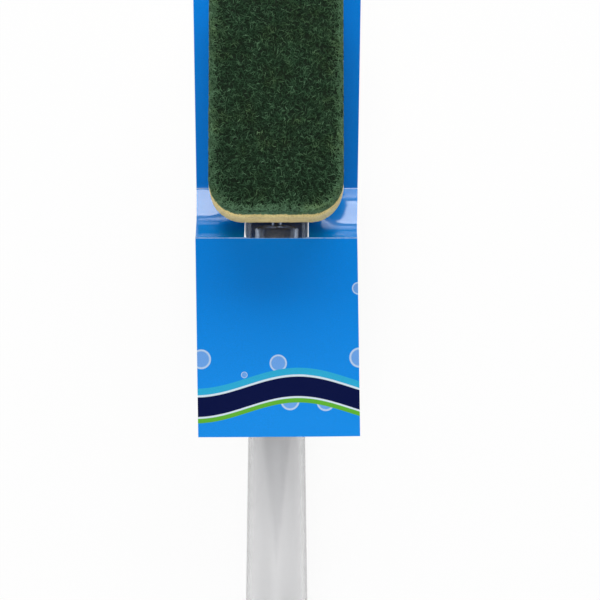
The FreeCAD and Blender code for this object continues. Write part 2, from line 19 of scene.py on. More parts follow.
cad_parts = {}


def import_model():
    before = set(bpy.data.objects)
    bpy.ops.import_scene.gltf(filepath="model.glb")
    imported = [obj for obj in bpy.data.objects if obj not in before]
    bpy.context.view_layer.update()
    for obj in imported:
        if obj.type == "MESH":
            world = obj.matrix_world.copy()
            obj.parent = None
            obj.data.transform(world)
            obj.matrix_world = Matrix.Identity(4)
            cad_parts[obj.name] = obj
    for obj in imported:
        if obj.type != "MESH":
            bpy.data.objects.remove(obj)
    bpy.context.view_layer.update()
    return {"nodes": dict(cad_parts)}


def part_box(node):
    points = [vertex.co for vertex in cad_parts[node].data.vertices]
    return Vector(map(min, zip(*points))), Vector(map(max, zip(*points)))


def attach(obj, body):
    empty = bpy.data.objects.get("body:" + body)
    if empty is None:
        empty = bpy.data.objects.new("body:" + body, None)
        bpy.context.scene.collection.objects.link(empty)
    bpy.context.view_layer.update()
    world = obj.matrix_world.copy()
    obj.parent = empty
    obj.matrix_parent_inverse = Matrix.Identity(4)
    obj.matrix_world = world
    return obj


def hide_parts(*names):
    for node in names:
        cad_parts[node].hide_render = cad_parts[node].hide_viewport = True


MM = 0.001
SMOOTH_ANGLE = math.radians(40)
SLACK = 0.1 * MM
MERGE = 0.001 * MM
FINE_NOISE = 0.55

Color = tuple[float, float, float]
Stretch = tuple[float, float, float]
Span = tuple[float, float]
Station = tuple[float, float, float, float]
Material = bpy.types.Material
Socket = bpy.types.NodeSocket

log = logging.getLogger("dish_wand")


class Graph:
    """Node tree of one material, with short calls that add and join nodes."""

    def __init__(self, name: str) -> None:
        """Start a material that holds a principled shader on its output.

        Args:
            name: Name of the material.
        """
        self.material = bpy.data.materials.new(name)
        self.material.use_nodes = True
        self.tree = self.material.node_tree
        self.tree.nodes.clear()
        self.shader = self.add("BsdfPrincipled")
        self.output = self.add("OutputMaterial", {"Surface": self.shader.outputs["BSDF"]})
        self.place = self.add("TexCoord").outputs["Object"]

    def add(self, kind: str, sockets: dict | None = None, **settings: object) -> bpy.types.Node:
        """Add a node.

        Args:
            kind: Node type without its ShaderNode prefix.
            sockets: Values or other nodes' outputs for its inputs, by name or number.
            settings: Properties of the node itself.

        Returns:
            The new node.
        """
        node = self.tree.nodes.new(f"ShaderNode{kind}")
        for name, value in settings.items():
            setattr(node, name, value)
        for key, value in (sockets or {}).items():
            self.put(node.inputs[key], value)
        return node

    def put(self, socket: Socket, value: object) -> None:
        """Join an output to a socket, or set the socket to a constant.

        Args:
            socket: Input that takes the value.
            value: Another node's output, a number, a vector or a colour.
        """
        if isinstance(value, Socket):
            self.tree.links.new(value, socket)
        elif socket.type == "RGBA":
            socket.default_value = (*value, 1.0)
        else:
            socket.default_value = value

    def surface(self, **values: object) -> None:
        """Set the principled shader's sockets; an underscore stands for a space."""
        for name, value in values.items():
            self.put(self.shader.inputs[name.replace("_", " ")], value)

    def split(self, vector: Socket) -> tuple[Socket, ...]:
        """Give the three parts of a vector."""
        return tuple(self.add("SeparateXYZ", {0: vector}).outputs)

    def scaled(self, size: Sequence[float]) -> Socket:
        """Give the object's coordinates stretched by three factors."""
        return self.add("Mapping", {"Vector": self.place, "Scale": size}).outputs[0]

    def noise(self, scale: float, detail: float, vector: Socket | None = None) -> Socket:
        """Add smooth noise.

        Args:
            scale: Features per metre.
            detail: Number of finer layers.
            vector: Coordinates other than the object's own.

        Returns:
            The noise value, about 0 to 1.
        """
        sockets = {"Vector": vector or self.place, "Scale": scale, "Detail": detail, "Roughness": FINE_NOISE}
        return self.add("TexNoise", sockets).outputs[0]

    def patches(self, scale: float, detail: float, span: Span = (0.3, 0.7),
                ends: Span = (0.0, 1.0)) -> Socket:
        """Add noise with more contrast.

        Args:
            scale: Features per metre.
            detail: Number of finer layers.
            span: Values of the noise that are stretched.
            ends: What the two ends of the span become.

        Returns:
            The stretched value.
        """
        return self.between(self.noise(scale, detail), *span, *ends)

    def cells(self, scale: float, vector: Socket | None = None, **settings: object) -> bpy.types.Node:
        """Add a cell pattern with so many cells per metre."""
        return self.add("TexVoronoi", {"Vector": vector or self.place, "Scale": scale}, **settings)

    def math(self, operation: str, *values: object, clamp: bool = False) -> Socket:
        """Work on one, two or three values."""
        sockets = dict(enumerate(values))
        return self.add("Math", sockets, operation=operation, use_clamp=clamp).outputs[0]

    def between(self, value: object, low: object, high: object, start: object = 0.0,
                end: object = 1.0) -> Socket:
        """Map low to start and high to end, smoothly and held at both ends."""
        sockets = {"Value": value, "From Min": low, "From Max": high, "To Min": start, "To Max": end}
        return self.add("MapRange", sockets, interpolation_type="SMOOTHSTEP").outputs[0]

    def mix(self, share: object, first: object, second: object) -> Socket:
        """Blend two colours.

        Args:
            share: Share of the second colour.
            first: Colour at 0.
            second: Colour at 1.

        Returns:
            The blended colour.
        """
        node = self.add("Mix", data_type="RGBA")
        for number, value in ((0, share), (6, first), (7, second)):
            self.put(node.inputs[number], value)
        return node.outputs[2]

    def bump(self, height: object, depth: float, strength: float = 1.0,
             under: Socket | None = None) -> Socket:
        """Raise the surface by a height of 0 to 1.

        Args:
            height: Pattern to raise.
            depth: Height of a full step, in metres.
            strength: Share of the slope that is kept.
            under: Normal of a coarser bump below.

        Returns:
            The bent normal.
        """
        node = self.add("Bump", {"Height": height, "Distance": depth, "Strength": strength})
        if under is not None:
            self.put(node.inputs["Normal"], under)
        return node.outputs[0]


def shaded(color: Color, share: float) -> Color:
    """Give a colour at a share of its brightness."""
    return tuple(share * part for part in color)


@dataclass(frozen=True)
class ClearPlastic:
    """Clear moulded plastic with faint flow waves: satin on the grip, glossier on the thick neck.

    The neck and the grip near the card carry painted shade for the card's shadow: a darker tint that runs out
    along the grip, farthest in a painted shadow tongue down its middle, and deepens to a darker bluish
    painted shade in the neck's walls and in the solid spine beyond it. The neck's middle is a little cloudy.
    Runs along the handle are measured from the card's free end, towards the head.
    """

    card_end: float
    name: str = "clear_plastic"
    grip_tint: Color = (0.985, 0.985, 0.99)
    # Painted shade: the darker tints and their runs below stand for the card's shadow on the handle.
    neck_shade_tint: Color = (0.65, 0.655, 0.67)
    deep_shade_tint: Color = (0.35, 0.42, 0.54)
    shade_run: Span = (-60 * MM, 85 * MM)
    neck_run: Span = (0.0, 50 * MM)
    wall_shade_span: Span = (5 * MM, 9 * MM)
    spine_shade_run: Span = (84 * MM, 91 * MM)
    tongue: float = 64 * MM
    tongue_half: float = 7.2 * MM
    tongue_edge: float = 2.5 * MM
    tongue_shade_depth: float = 0.24
    cloud: float = 0.1
    refraction: float = 1.53
    satin: float = 0.2
    polish: float = 0.18
    haze: float = 0.05
    haze_scale: float = 220.0
    haze_span: Span = (0.35, 0.75)
    wave_pitch: float = 14 * MM
    wave_depth: float = 0.05 * MM
    wave_stretch: Stretch = (1.0, 0.25, 1.0)

    def build(self) -> Material:
        """Build the node tree.

        Returns:
            The finished material.
        """
        graph = Graph(self.name)
        x, y, _ = graph.split(graph.place)
        waves = graph.noise(1 / self.wave_pitch, 1.0, graph.scaled(self.wave_stretch))
        haze = graph.patches(self.haze_scale, 2.0, self.haze_span, (0.0, self.haze))
        # Painted shade: the tint darkens from the grip towards and under the card, and deeper down the
        # tongue, standing for the card's shadow.
        painted_shade = graph.math("ADD", graph.between(y, *self._stations(self.shade_run)),
                           self._shadow_tongue(graph, x, y), clamp=True)
        neck = graph.between(y, *self._stations(self.neck_run))
        # Painted shade: a darker bluish tint in the neck's walls and in the solid spine, standing for the
        # shaded card seen through them.
        walls = graph.math("MULTIPLY", neck, graph.between(graph.math("ABSOLUTE", x), *self.wall_shade_span))
        spine = graph.between(y, *self._stations(self.spine_shade_run))
        deep_shade = graph.math("MAXIMUM", walls, spine)
        cloudy = graph.math("SUBTRACT", neck, deep_shade, clamp=True)
        graph.surface(
            Base_Color=graph.mix(painted_shade, self.grip_tint, graph.mix(deep_shade, self.neck_shade_tint, self.deep_shade_tint)),
            Roughness=graph.math("ADD", graph.between(neck, 0.0, 1.0, self.satin, self.polish), haze),
            Transmission_Weight=graph.between(cloudy, 0.0, 1.0, 1.0, 1.0 - self.cloud),
            IOR=self.refraction,
            Normal=graph.bump(waves, self.wave_depth),
        )
        return graph.material

    def _stations(self, run: Span) -> Span:
        """Give the stations of a run that is measured from the card's end."""
        return self.card_end + run[0], self.card_end + run[1]

    def _shadow_tongue(self, graph: Graph, x: Socket, y: Socket) -> Socket:
        """Give the extra painted shade of the tongue, a painted shadow of the card that narrows to a tip
        along the grip.

        Args:
            graph: Node tree of the material.
            x: Place across the handle.
            y: Place along the handle.

        Returns:
            The painted shade to add, 0 outside the tongue.
        """
        along = graph.math("SUBTRACT", y, self.card_end - self.tongue)
        half = graph.math("MULTIPLY", along, self.tongue_half / self.tongue)
        inside = graph.math("SUBTRACT", half, graph.math("ABSOLUTE", x))
        return graph.between(inside, 0.0, self.tongue_edge, 0.0, self.tongue_shade_depth)


@dataclass(frozen=True)
class MouldedPlastic:
    """Opaque moulded plastic with a fine satin grain and slight clouding."""

    name: str
    color: Color
    roughness: float = 0.34
    dull_extra: float = 0.1
    dull_scale: float = 300.0
    cloud_scale: float = 40.0
    cloud_shade: float = 0.9
    grain_pitch: float = 0.5 * MM
    grain_depth: float = 0.012 * MM

    def build(self) -> Material:
        """Build the node tree.

        Returns:
            The finished material.
        """
        graph = Graph(self.name)
        clouds = graph.patches(self.cloud_scale, 3.0)
        gloss = (self.roughness, self.roughness + self.dull_extra)
        graph.surface(
            Base_Color=graph.mix(clouds, shaded(self.color, self.cloud_shade), self.color),
            Roughness=graph.patches(self.dull_scale, 2.0, ends=gloss),
            Normal=graph.bump(graph.noise(1 / self.grain_pitch, 2.0), self.grain_depth),
        )
        return graph.material


@dataclass(frozen=True)
class SoftRubber:
    """Slightly see-through silicone with a dull skin."""

    name: str = "silicone"
    color: Color = (0.74, 0.74, 0.71)
    cloud_scale: float = 600.0
    cloud_shade: float = 0.86
    roughness: Span = (0.42, 0.58)
    clearness: float = 0.25
    grain_scale: float = 4000.0
    grain_depth: float = 0.01 * MM

    def build(self) -> Material:
        """Build the node tree.

        Returns:
            The finished material.
        """
        graph = Graph(self.name)
        clouds = graph.patches(self.cloud_scale, 3.0)
        graph.surface(
            Base_Color=graph.mix(clouds, shaded(self.color, self.cloud_shade), self.color),
            Roughness=graph.between(clouds, 0.0, 1.0, *self.roughness),
            Transmission_Weight=self.clearness,
            Normal=graph.bump(graph.noise(self.grain_scale, 2.0), self.grain_depth),
        )
        return graph.material


@dataclass(frozen=True)
class FoamFinish:
    """Fine open foam: pale cell walls, and cell mouths darkened with painted shade."""

    name: str
    color: Color
    shade: Color
    cell_pitch: float = 0.55 * MM
    cell_depth: float = 0.16 * MM
    cell_slope: float = 0.8
    mouth: Span = (0.05, 0.5)
    tone_scale: float = 130.0
    tone_span: Span = (0.25, 0.75)
    tone_shade: float = 0.82
    roughness: float = 0.92
    specular: float = 0.2
    sheen: float = 0.15

    def build(self) -> Material:
        """Build the node tree.

        Returns:
            The finished material.
        """
        graph = Graph(self.name)
        cell = graph.cells(1 / self.cell_pitch).outputs["Distance"]
        wall = graph.between(cell, *self.mouth)
        tone = graph.patches(self.tone_scale, 4.0, self.tone_span)
        graph.surface(
            # Painted shade: the cell mouths take the shade colour, as the insides of the pores lie in shadow.
            Base_Color=graph.mix(wall, self.shade,
                                 graph.mix(tone, shaded(self.color, self.tone_shade), self.color)),
            Roughness=self.roughness,
            Specular_IOR_Level=self.specular,
            Sheen_Weight=self.sheen,
            Normal=graph.bump(wall, self.cell_depth, self.cell_slope),
        )
        return graph.material


class FibreShade(Enum):
    """Shades of the scouring web: a near-black core that is painted shade, the tones of the strands, and a
    pale shade for grit and for painted light on the rim.
    """

    # Painted shade: the dense inside of the pad, where only shade falls between the fibres.
    CORE = (0.006, 0.017, 0.007)
    DARK = (0.016, 0.047, 0.021)
    MID = (0.036, 0.092, 0.043)
    LIGHT = (0.088, 0.184, 0.096)
    # Pale strands: specks of grit, and painted light on the rim.
    WORN = (0.145, 0.285, 0.160)


@dataclass(frozen=True)
class ScouringFibre:
    """Resin-coated nylon fibre with grit and uneven dye."""

    shade: FibreShade
    dye_scale: float = 260.0
    dye_shade: float = 0.62
    warm_scale: float = 70.0
    warm_span: Span = (0.45, 0.75)
    warm_cast: Color = (1.25, 1.02, 0.8)
    dull_scale: float = 2500.0
    roughness: Span = (0.45, 0.75)
    specular: float = 0.15
    grit_scale: float = 5000.0
    grit_depth: float = 0.05 * MM

    def build(self) -> Material:
        """Build the node tree.

        Returns:
            The finished material.
        """
        graph = Graph(f"scouring_fibre_{self.shade.name.lower()}")
        color = self.shade.value
        olive = tuple(part * cast for part, cast in zip(color, self.warm_cast))
        full = graph.mix(graph.patches(self.warm_scale, 2.0, self.warm_span), color, olive)
        graph.surface(
            Base_Color=graph.mix(graph.patches(self.dye_scale, 4.0), shaded(color, self.dye_shade), full),
            Roughness=graph.patches(self.dull_scale, 2.0, ends=self.roughness),
            Specular_IOR_Level=self.specular,
            Normal=graph.bump(graph.noise(self.grit_scale, 3.0), self.grit_depth),
        )
        return graph.material


@dataclass(frozen=True)
class RawBoard:
    """Unprinted board with short fibres."""

    name: str
    color: Color
    shade: float = 0.72
    fibre_scale: float = 900.0
    fibre_stretch: Stretch = (1.0, 0.35, 1.0)
    fibre_span: Span = (0.25, 0.75)
    fibre_depth: float = 0.03 * MM
    cloud_scale: float = 120.0
    cloud_span: Span = (0.0, 0.8)
    roughness: float = 0.88
    specular: float = 0.25

    def build(self) -> Material:
        """Build the node tree.

        Returns:
            The finished material.
        """
        graph = Graph(self.name)
        fibres = graph.noise(self.fibre_scale, 5.0, graph.scaled(self.fibre_stretch))
        clouds = graph.patches(self.cloud_scale, 3.0, self.cloud_span)
        tone = graph.math("MULTIPLY", graph.between(fibres, *self.fibre_span), clouds)
        graph.surface(
            Base_Color=graph.mix(tone, shaded(self.color, self.shade), self.color),
            Roughness=self.roughness,
            Specular_IOR_Level=self.specular,
            Normal=graph.bump(fibres, self.fibre_depth),
        )
        return graph.material


@dataclass(frozen=True)
class FoldLines:
    """Levels and stations of the folded card."""

    front_end: float
    front_crease: float
    back_crease: float
    top: float
    front_level: float
    flap_end: float
    front_half: float
    crease_half: float
    header_half: float


@dataclass(frozen=True)
class PrintedFace:
    """Varnished print: blue fields, a dark ribbon, pale bubbles, and pale creases that are partly cracked ink
    and partly a painted highlight.
    """

    folds: FoldLines
    name: str = "printed_card"
    # The front field darkens from front_low to front_high: partly a print gradient, partly painted shade from
    # the head.
    front_low: Color = (0.010, 0.290, 0.880)
    front_high: Color = (0.001, 0.235, 0.780)
    slope: Color = (0.001, 0.208, 0.630)
    back_low: Color = (0.002, 0.190, 0.660)
    back_high: Color = (0.002, 0.205, 0.700)
    navy: Color = (0.004, 0.008, 0.060)
    teal: Color = (0.030, 0.440, 0.720)
    green: Color = (0.130, 0.480, 0.040)
    pale: Color = (0.700, 0.830, 0.930)
    wave_height: float = 19 * MM
    wave_swing: float = 4.5 * MM
    wave_length: float = 88 * MM
    wave_phase: float = 0.9
    band: float = 3.2 * MM
    band_edge: float = 0.12 * MM
    bubble_pitch: float = 17 * MM
    bubble_spread: float = 0.5
    bubble_radius: Span = (0.07, 0.24)
    bubble_ring: float = 0.75
    bubble_ring_inner: Span = (0.72, 0.95)
    bubble_ring_outer: Span = (1.0, 1.1)
    bubble_fill: float = 0.22
    bubble_fill_edge: Span = (0.9, 1.05)
    bubble_chance: Span = (0.95, 0.12)
    crack_half: Span = (0.06 * MM, 0.3 * MM)
    crack_and_highlight_white: float = 0.55
    crack_scale: float = 500.0
    crack_span: Span = (0.2, 0.6)
    dot_scale: float = 2600.0
    dot_span: Span = (0.2, 0.8)
    dot_value: Span = (0.92, 1.06)
    ink_scale: float = 420.0
    ink_roughness: Span = (0.30, 0.42)
    varnish_roughness: float = 0.1
    ripple_scale: float = 75.0
    ripple_depth: float = 0.12 * MM
    paper_scale: float = 1400.0
    paper_depth: float = 0.004 * MM

    def build(self) -> Material:
        """Build the node tree.

        Returns:
            The finished material.
        """
        graph = Graph(self.name)
        x, y, z = graph.split(graph.place)
        front = graph.math("MULTIPLY", graph.math("LESS_THAN", y, self.folds.front_crease),
                           graph.math("GREATER_THAN", z, self.folds.front_level / 2))
        ink = self._fields(graph, y, front)
        ink = self._bubbles(graph, x, y, ink)
        ink = self._wave(graph, x, y, ink)
        ink = self._creases(graph, y, ink)
        dots = graph.patches(self.dot_scale, 2.0, self.dot_span, self.dot_value)
        ripple = graph.bump(graph.noise(self.ripple_scale, 2.0), self.ripple_depth)
        graph.surface(
            Base_Color=graph.add("HueSaturation", {"Value": dots, "Color": ink}).outputs[0],
            Roughness=graph.patches(self.ink_scale, 3.0, ends=self.ink_roughness),
            Specular_IOR_Level=0.0,
            Coat_Weight=1.0,
            Coat_Roughness=self.varnish_roughness,
            Normal=graph.bump(graph.noise(self.paper_scale, 3.0), self.paper_depth, under=ripple),
            Coat_Normal=ripple,
        )
        return graph.material

    def _fields(self, graph: Graph, y: Socket, front: Socket) -> Socket:
        """Give the blue fields of the panels, each graded along its length; the front panel darkens towards
        its crease, partly as a print gradient and partly as painted shade from the head.

        Args:
            graph: Node tree of the material.
            y: Place along the card.
            front: 1 on the front panel, 0 elsewhere.

        Returns:
            The colour of the bare fields.
        """
        folds = self.folds
        rise = graph.between(y, folds.front_end, folds.front_crease)
        # Partly painted shade: the front field darkens towards its crease, where the head's shadow falls, on
        # top of a print gradient.
        near = graph.mix(rise, self.front_low, self.front_high)
        far = graph.mix(graph.between(y, folds.back_crease, folds.top), self.back_low, self.back_high)
        far = graph.mix(graph.math("LESS_THAN", y, folds.back_crease), far, self.slope)
        return graph.mix(front, far, near)

    def _bubbles(self, graph: Graph, x: Socket, y: Socket, ink: Socket) -> Socket:
        """Scatter ringed bubbles over the front panel, thinning out towards its crease.

        Args:
            graph: Node tree of the material.
            x: Place across the card.
            y: Place along the card.
            ink: Colour below.

        Returns:
            The colour with bubbles.
        """
        folds = self.folds
        flat = graph.add("CombineXYZ", {0: x, 1: y}).outputs[0]
        cell = graph.cells(1 / self.bubble_pitch, flat, voronoi_dimensions="2D")
        graph.put(cell.inputs["Randomness"], self.bubble_spread)
        chance, girth, _ = graph.split(cell.outputs["Color"])
        radius = graph.between(girth, 0.0, 1.0, *self.bubble_radius)
        share = graph.math("DIVIDE", cell.outputs["Distance"], radius)
        inner = graph.between(share, *self.bubble_ring_inner)
        outer = graph.between(share, *self.bubble_ring_outer, 1.0, 0.0)
        ring = graph.math("MULTIPLY", graph.math("MULTIPLY", inner, outer), self.bubble_ring)
        body = graph.between(share, *self.bubble_fill_edge, self.bubble_fill, 0.0)
        _, middle, _ = graph.split(cell.outputs["Position"])
        thin = graph.between(middle, folds.front_end, folds.front_crease, *self.bubble_chance)
        shown = graph.math("MULTIPLY", graph.math("LESS_THAN", chance, thin),
                           graph.math("LESS_THAN", middle, folds.front_crease - 2 * self.band))
        mask = graph.math("MULTIPLY", graph.math("MAXIMUM", ring, body), shown)
        return graph.mix(mask, ink, self.pale)

    def _wave(self, graph: Graph, x: Socket, y: Socket, ink: Socket) -> Socket:
        """Lay a waving dark ribbon, edged in teal, white and green, across the front panel.

        Args:
            graph: Node tree of the material.
            x: Place across the card.
            y: Place along the card.
            ink: Colour below.

        Returns:
            The colour with the ribbon.
        """
        turn = graph.math("MULTIPLY", x, 2 * math.pi / self.wave_length)
        turn = graph.math("ADD", turn, self.wave_phase)
        swing = graph.math("MULTIPLY", graph.math("SINE", turn), self.wave_swing)
        height = graph.math("SUBTRACT", y, self.folds.front_end + self.wave_height)
        above = graph.math("SUBTRACT", height, swing)
        soft, ribbon = self.band_edge, ink
        for share, color in ((1.9, self.teal), (1.0, self.pale), (0.72, self.navy), (-1.9, self.pale),
                             (-2.15, self.green), (-2.75, ink)):
            edge = share * self.band
            ribbon = graph.mix(graph.between(above, edge - soft, edge + soft, 1.0, 0.0), ribbon, color)
        return ribbon

    def _creases(self, graph: Graph, y: Socket, ink: Socket) -> Socket:
        """Lighten both creases: partly pale paper through cracked ink, partly a painted highlight along the
        fold.

        Args:
            graph: Node tree of the material.
            y: Place along the card.
            ink: Colour below.

        Returns:
            The colour with pale creases.
        """
        torn = graph.patches(self.crack_scale, 3.0, self.crack_span)
        for crease in (self.folds.front_crease, self.folds.back_crease):
            # Partly painted highlight: a pale line along each crease, broken by the cracking pattern.
            off = graph.math("ABSOLUTE", graph.math("SUBTRACT", y, crease))
            line = graph.between(off, *self.crack_half, self.crack_and_highlight_white, 0.0)
            ink = graph.mix(graph.math("MULTIPLY", line, torn), ink, self.pale)
        return ink


@dataclass(frozen=True)
class Seat:
    """Where a finished mesh belongs in the frame."""

    body: str
    slot: str
    nodes: tuple[str, ...] = ()


def new_object(name: str, bm: BMesh, materials: Sequence[Material] = ()) -> bpy.types.Object:
    """Turn a bmesh into an object of the scene.

    Args:
        name: Name of the object and of its mesh.
        bm: Finished shape, which is freed.
        materials: Materials in the order of the faces' numbers.

    Returns:
        The new object.
    """
    mesh = bpy.data.meshes.new(name)
    bm.to_mesh(mesh)
    bm.free()
    for material in materials:
        mesh.materials.append(material)
    thing = bpy.data.objects.new(name, mesh)
    bpy.context.scene.collection.objects.link(thing)
    return thing


def make_piece(name: str, bm: BMesh, materials: Sequence[Material], seat: Seat) -> bpy.types.Object:
    """Turn a bmesh into a smooth-shaded object that rides on its body.

    Args:
        name: Name of the piece.
        bm: Finished shape, which is freed.
        materials: Materials in the order of the faces' numbers.
        seat: Body, slot and the nodes that the piece stands for.

    Returns:
        The new object.
    """
    for face in bm.faces:
        face.smooth = True
    for edge in bm.edges:
        edge.smooth = edge.calc_face_angle(0.0) < SMOOTH_ANGLE
    piece = new_object(name, bm, materials)
    settle(piece, seat)
    return piece


def settle(piece: bpy.types.Object, seat: Seat) -> None:
    """Attach a piece to its body, hide the nodes that it replaces, and report it.

    Args:
        piece: Finished object.
        seat: Body, slot and nodes that it belongs to.
    """
    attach(piece, seat.body)
    if seat.nodes:
        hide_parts(*seat.nodes)
    log.info("%s: %d faces on %s", piece.name, len(piece.data.polygons), seat.body)


def verts_in(made: Iterable[BMVert | BMEdge | BMFace]) -> list[BMVert]:
    """Points among the parts that an operator made."""
    return [item for item in made if isinstance(item, BMVert)]


def edges_of(verts: Sequence[BMVert]) -> list[BMEdge]:
    """Edges that run between the given points, in the points' order.

    Args:
        verts: Points, such as those of a ring.

    Returns:
        The edges, each once.
    """
    kept = set(verts)
    found = (edge for vert in verts for edge in vert.link_edges if kept.issuperset(edge.verts))
    return list(dict.fromkeys(found))


def grow_ring(bm: BMesh, ring: Sequence[BMEdge]) -> tuple[list[BMVert], list[BMEdge]]:
    """Extrude a ring of edges where it stands.

    Args:
        bm: Mesh that holds the ring.
        ring: Edges of the ring.

    Returns:
        The points and the edges of the new ring.
    """
    verts = verts_in(bmesh.ops.extrude_edge_only(bm, edges=ring)["geom"])
    return verts, edges_of(verts)


def close_ring(bm: BMesh, ring: Sequence[BMEdge]) -> list[BMFace]:
    """Cap a ring of edges with one face."""
    return bmesh.ops.contextual_create(bm, geom=ring)["faces"]


def round_stations(rounds: Iterable[Span], z: float) -> list[Station]:
    """Stations of round sections, each given by its place and radius."""
    return [(y, z, radius, radius) for y, radius in rounds]


def loft(bm: BMesh, stations: Sequence[Station], segments: int) -> tuple[list[BMEdge], list[BMEdge]]:
    """Skin upright ellipses one after the other along Y.

    Args:
        bm: Mesh that receives the skin.
        stations: Each ellipse as y, z, half width and half height.
        segments: Points round each ellipse.

    Returns:
        The edges of the first and of the last ellipse.
    """
    verts = bmesh.ops.create_circle(bm, segments=segments, radius=1.0)["verts"]
    bmesh.ops.rotate(bm, verts=verts, matrix=Matrix.Rotation(math.pi / 2, 3, "X"))
    first = edges = edges_of(verts)
    placed = Matrix.Identity(4)
    for number, (y, z, half_width, half_height) in enumerate(stations):
        if number:
            verts, edges = grow_ring(bm, edges)
        target = Matrix.Translation((0, y, z)) @ Matrix.Diagonal((half_width, 1, half_height, 1))
        bmesh.ops.transform(bm, matrix=target @ placed.inverted(), verts=verts)
        placed = target
    return first, edges


def make_skin(stations: Sequence[Station], segments: int) -> BMesh:
    """Closed shape skinned over ellipses.

    Args:
        stations: Each ellipse as y, z, half width and half height.
        segments: Points round each ellipse.

    Returns:
        The shape with its faces turned outwards.
    """
    bm = bmesh.new()
    for end in loft(bm, stations, segments):
        close_ring(bm, end)
    bmesh.ops.recalc_face_normals(bm, faces=bm.faces)
    return bm


def rectangle(across: Span, along: Span, z: float) -> list[Vector]:
    """Corners of a level rectangle, in order round it."""
    (left, right), (near, far) = across, along
    return [Vector((x, y, z)) for x, y in ((left, near), (right, near), (right, far), (left, far))]


def push_faces(bm: BMesh, faces: Sequence[BMFace], run: Vector) -> None:
    """Push a flat outline along a run into a closed solid.

    Args:
        bm: Mesh that holds the faces.
        faces: Flat faces side by side.
        run: Way that they are pushed.
    """
    grown = bmesh.ops.extrude_face_region(bm, geom=faces)["geom"]
    bmesh.ops.translate(bm, verts=verts_in(grown), vec=run)
    bmesh.ops.recalc_face_normals(bm, faces=bm.faces)


def make_prism(corners: Sequence[Vector], run: Vector) -> BMesh:
    """Closed prism from a flat outline pushed along a run.

    Args:
        corners: Outline in order.
        run: Way that it is pushed.

    Returns:
        The solid with its faces turned outwards.
    """
    bm = bmesh.new()
    face = bm.faces.new([bm.verts.new(corner) for corner in corners])
    push_faces(bm, [face], run)
    return bm


def round_edges(bm: BMesh, edges: Iterable[BMEdge], radius: float, segments: int = 4) -> None:
    """Round edges with a number of steps."""
    bmesh.ops.bevel(bm, geom=list(edges), offset=radius, offset_type="OFFSET", affect="EDGES",
                    segments=segments, profile=0.5, material=-1, clamp_overlap=True)


def combine(target: BMesh, tool: BMesh, operation: str) -> BMesh:
    """Join or cut two closed shapes.

    Args:
        target: Shape that stays.
        tool: Shape that is added or taken away.
        operation: UNION or DIFFERENCE.

    Returns:
        The resulting shape; both inputs are freed.
    """
    objects = [new_object("boolean", bm) for bm in (target, tool)]
    modifier = objects[0].modifiers.new("boolean", "BOOLEAN")
    modifier.operation = operation
    modifier.object = objects[1]
    modifier.solver = "EXACT"
    result = bmesh.new()
    result.from_object(objects[0], bpy.context.evaluated_depsgraph_get())
    for thing in objects:
        mesh = thing.data
        bpy.data.objects.remove(thing)
        bpy.data.meshes.remove(mesh)
    return result


def ease(share: float) -> float:
    """Smooth step from 0 to 1 with level ends."""
    return share * share * (3 - 2 * share)


def held(share: float) -> float:
    """Share held between 0 and 1."""
    return min(1.0, max(0.0, share))


def part_way(start: float, end: float, share: float) -> float:
    """Value a share of the way from start to end."""
    return start + (end - start) * share


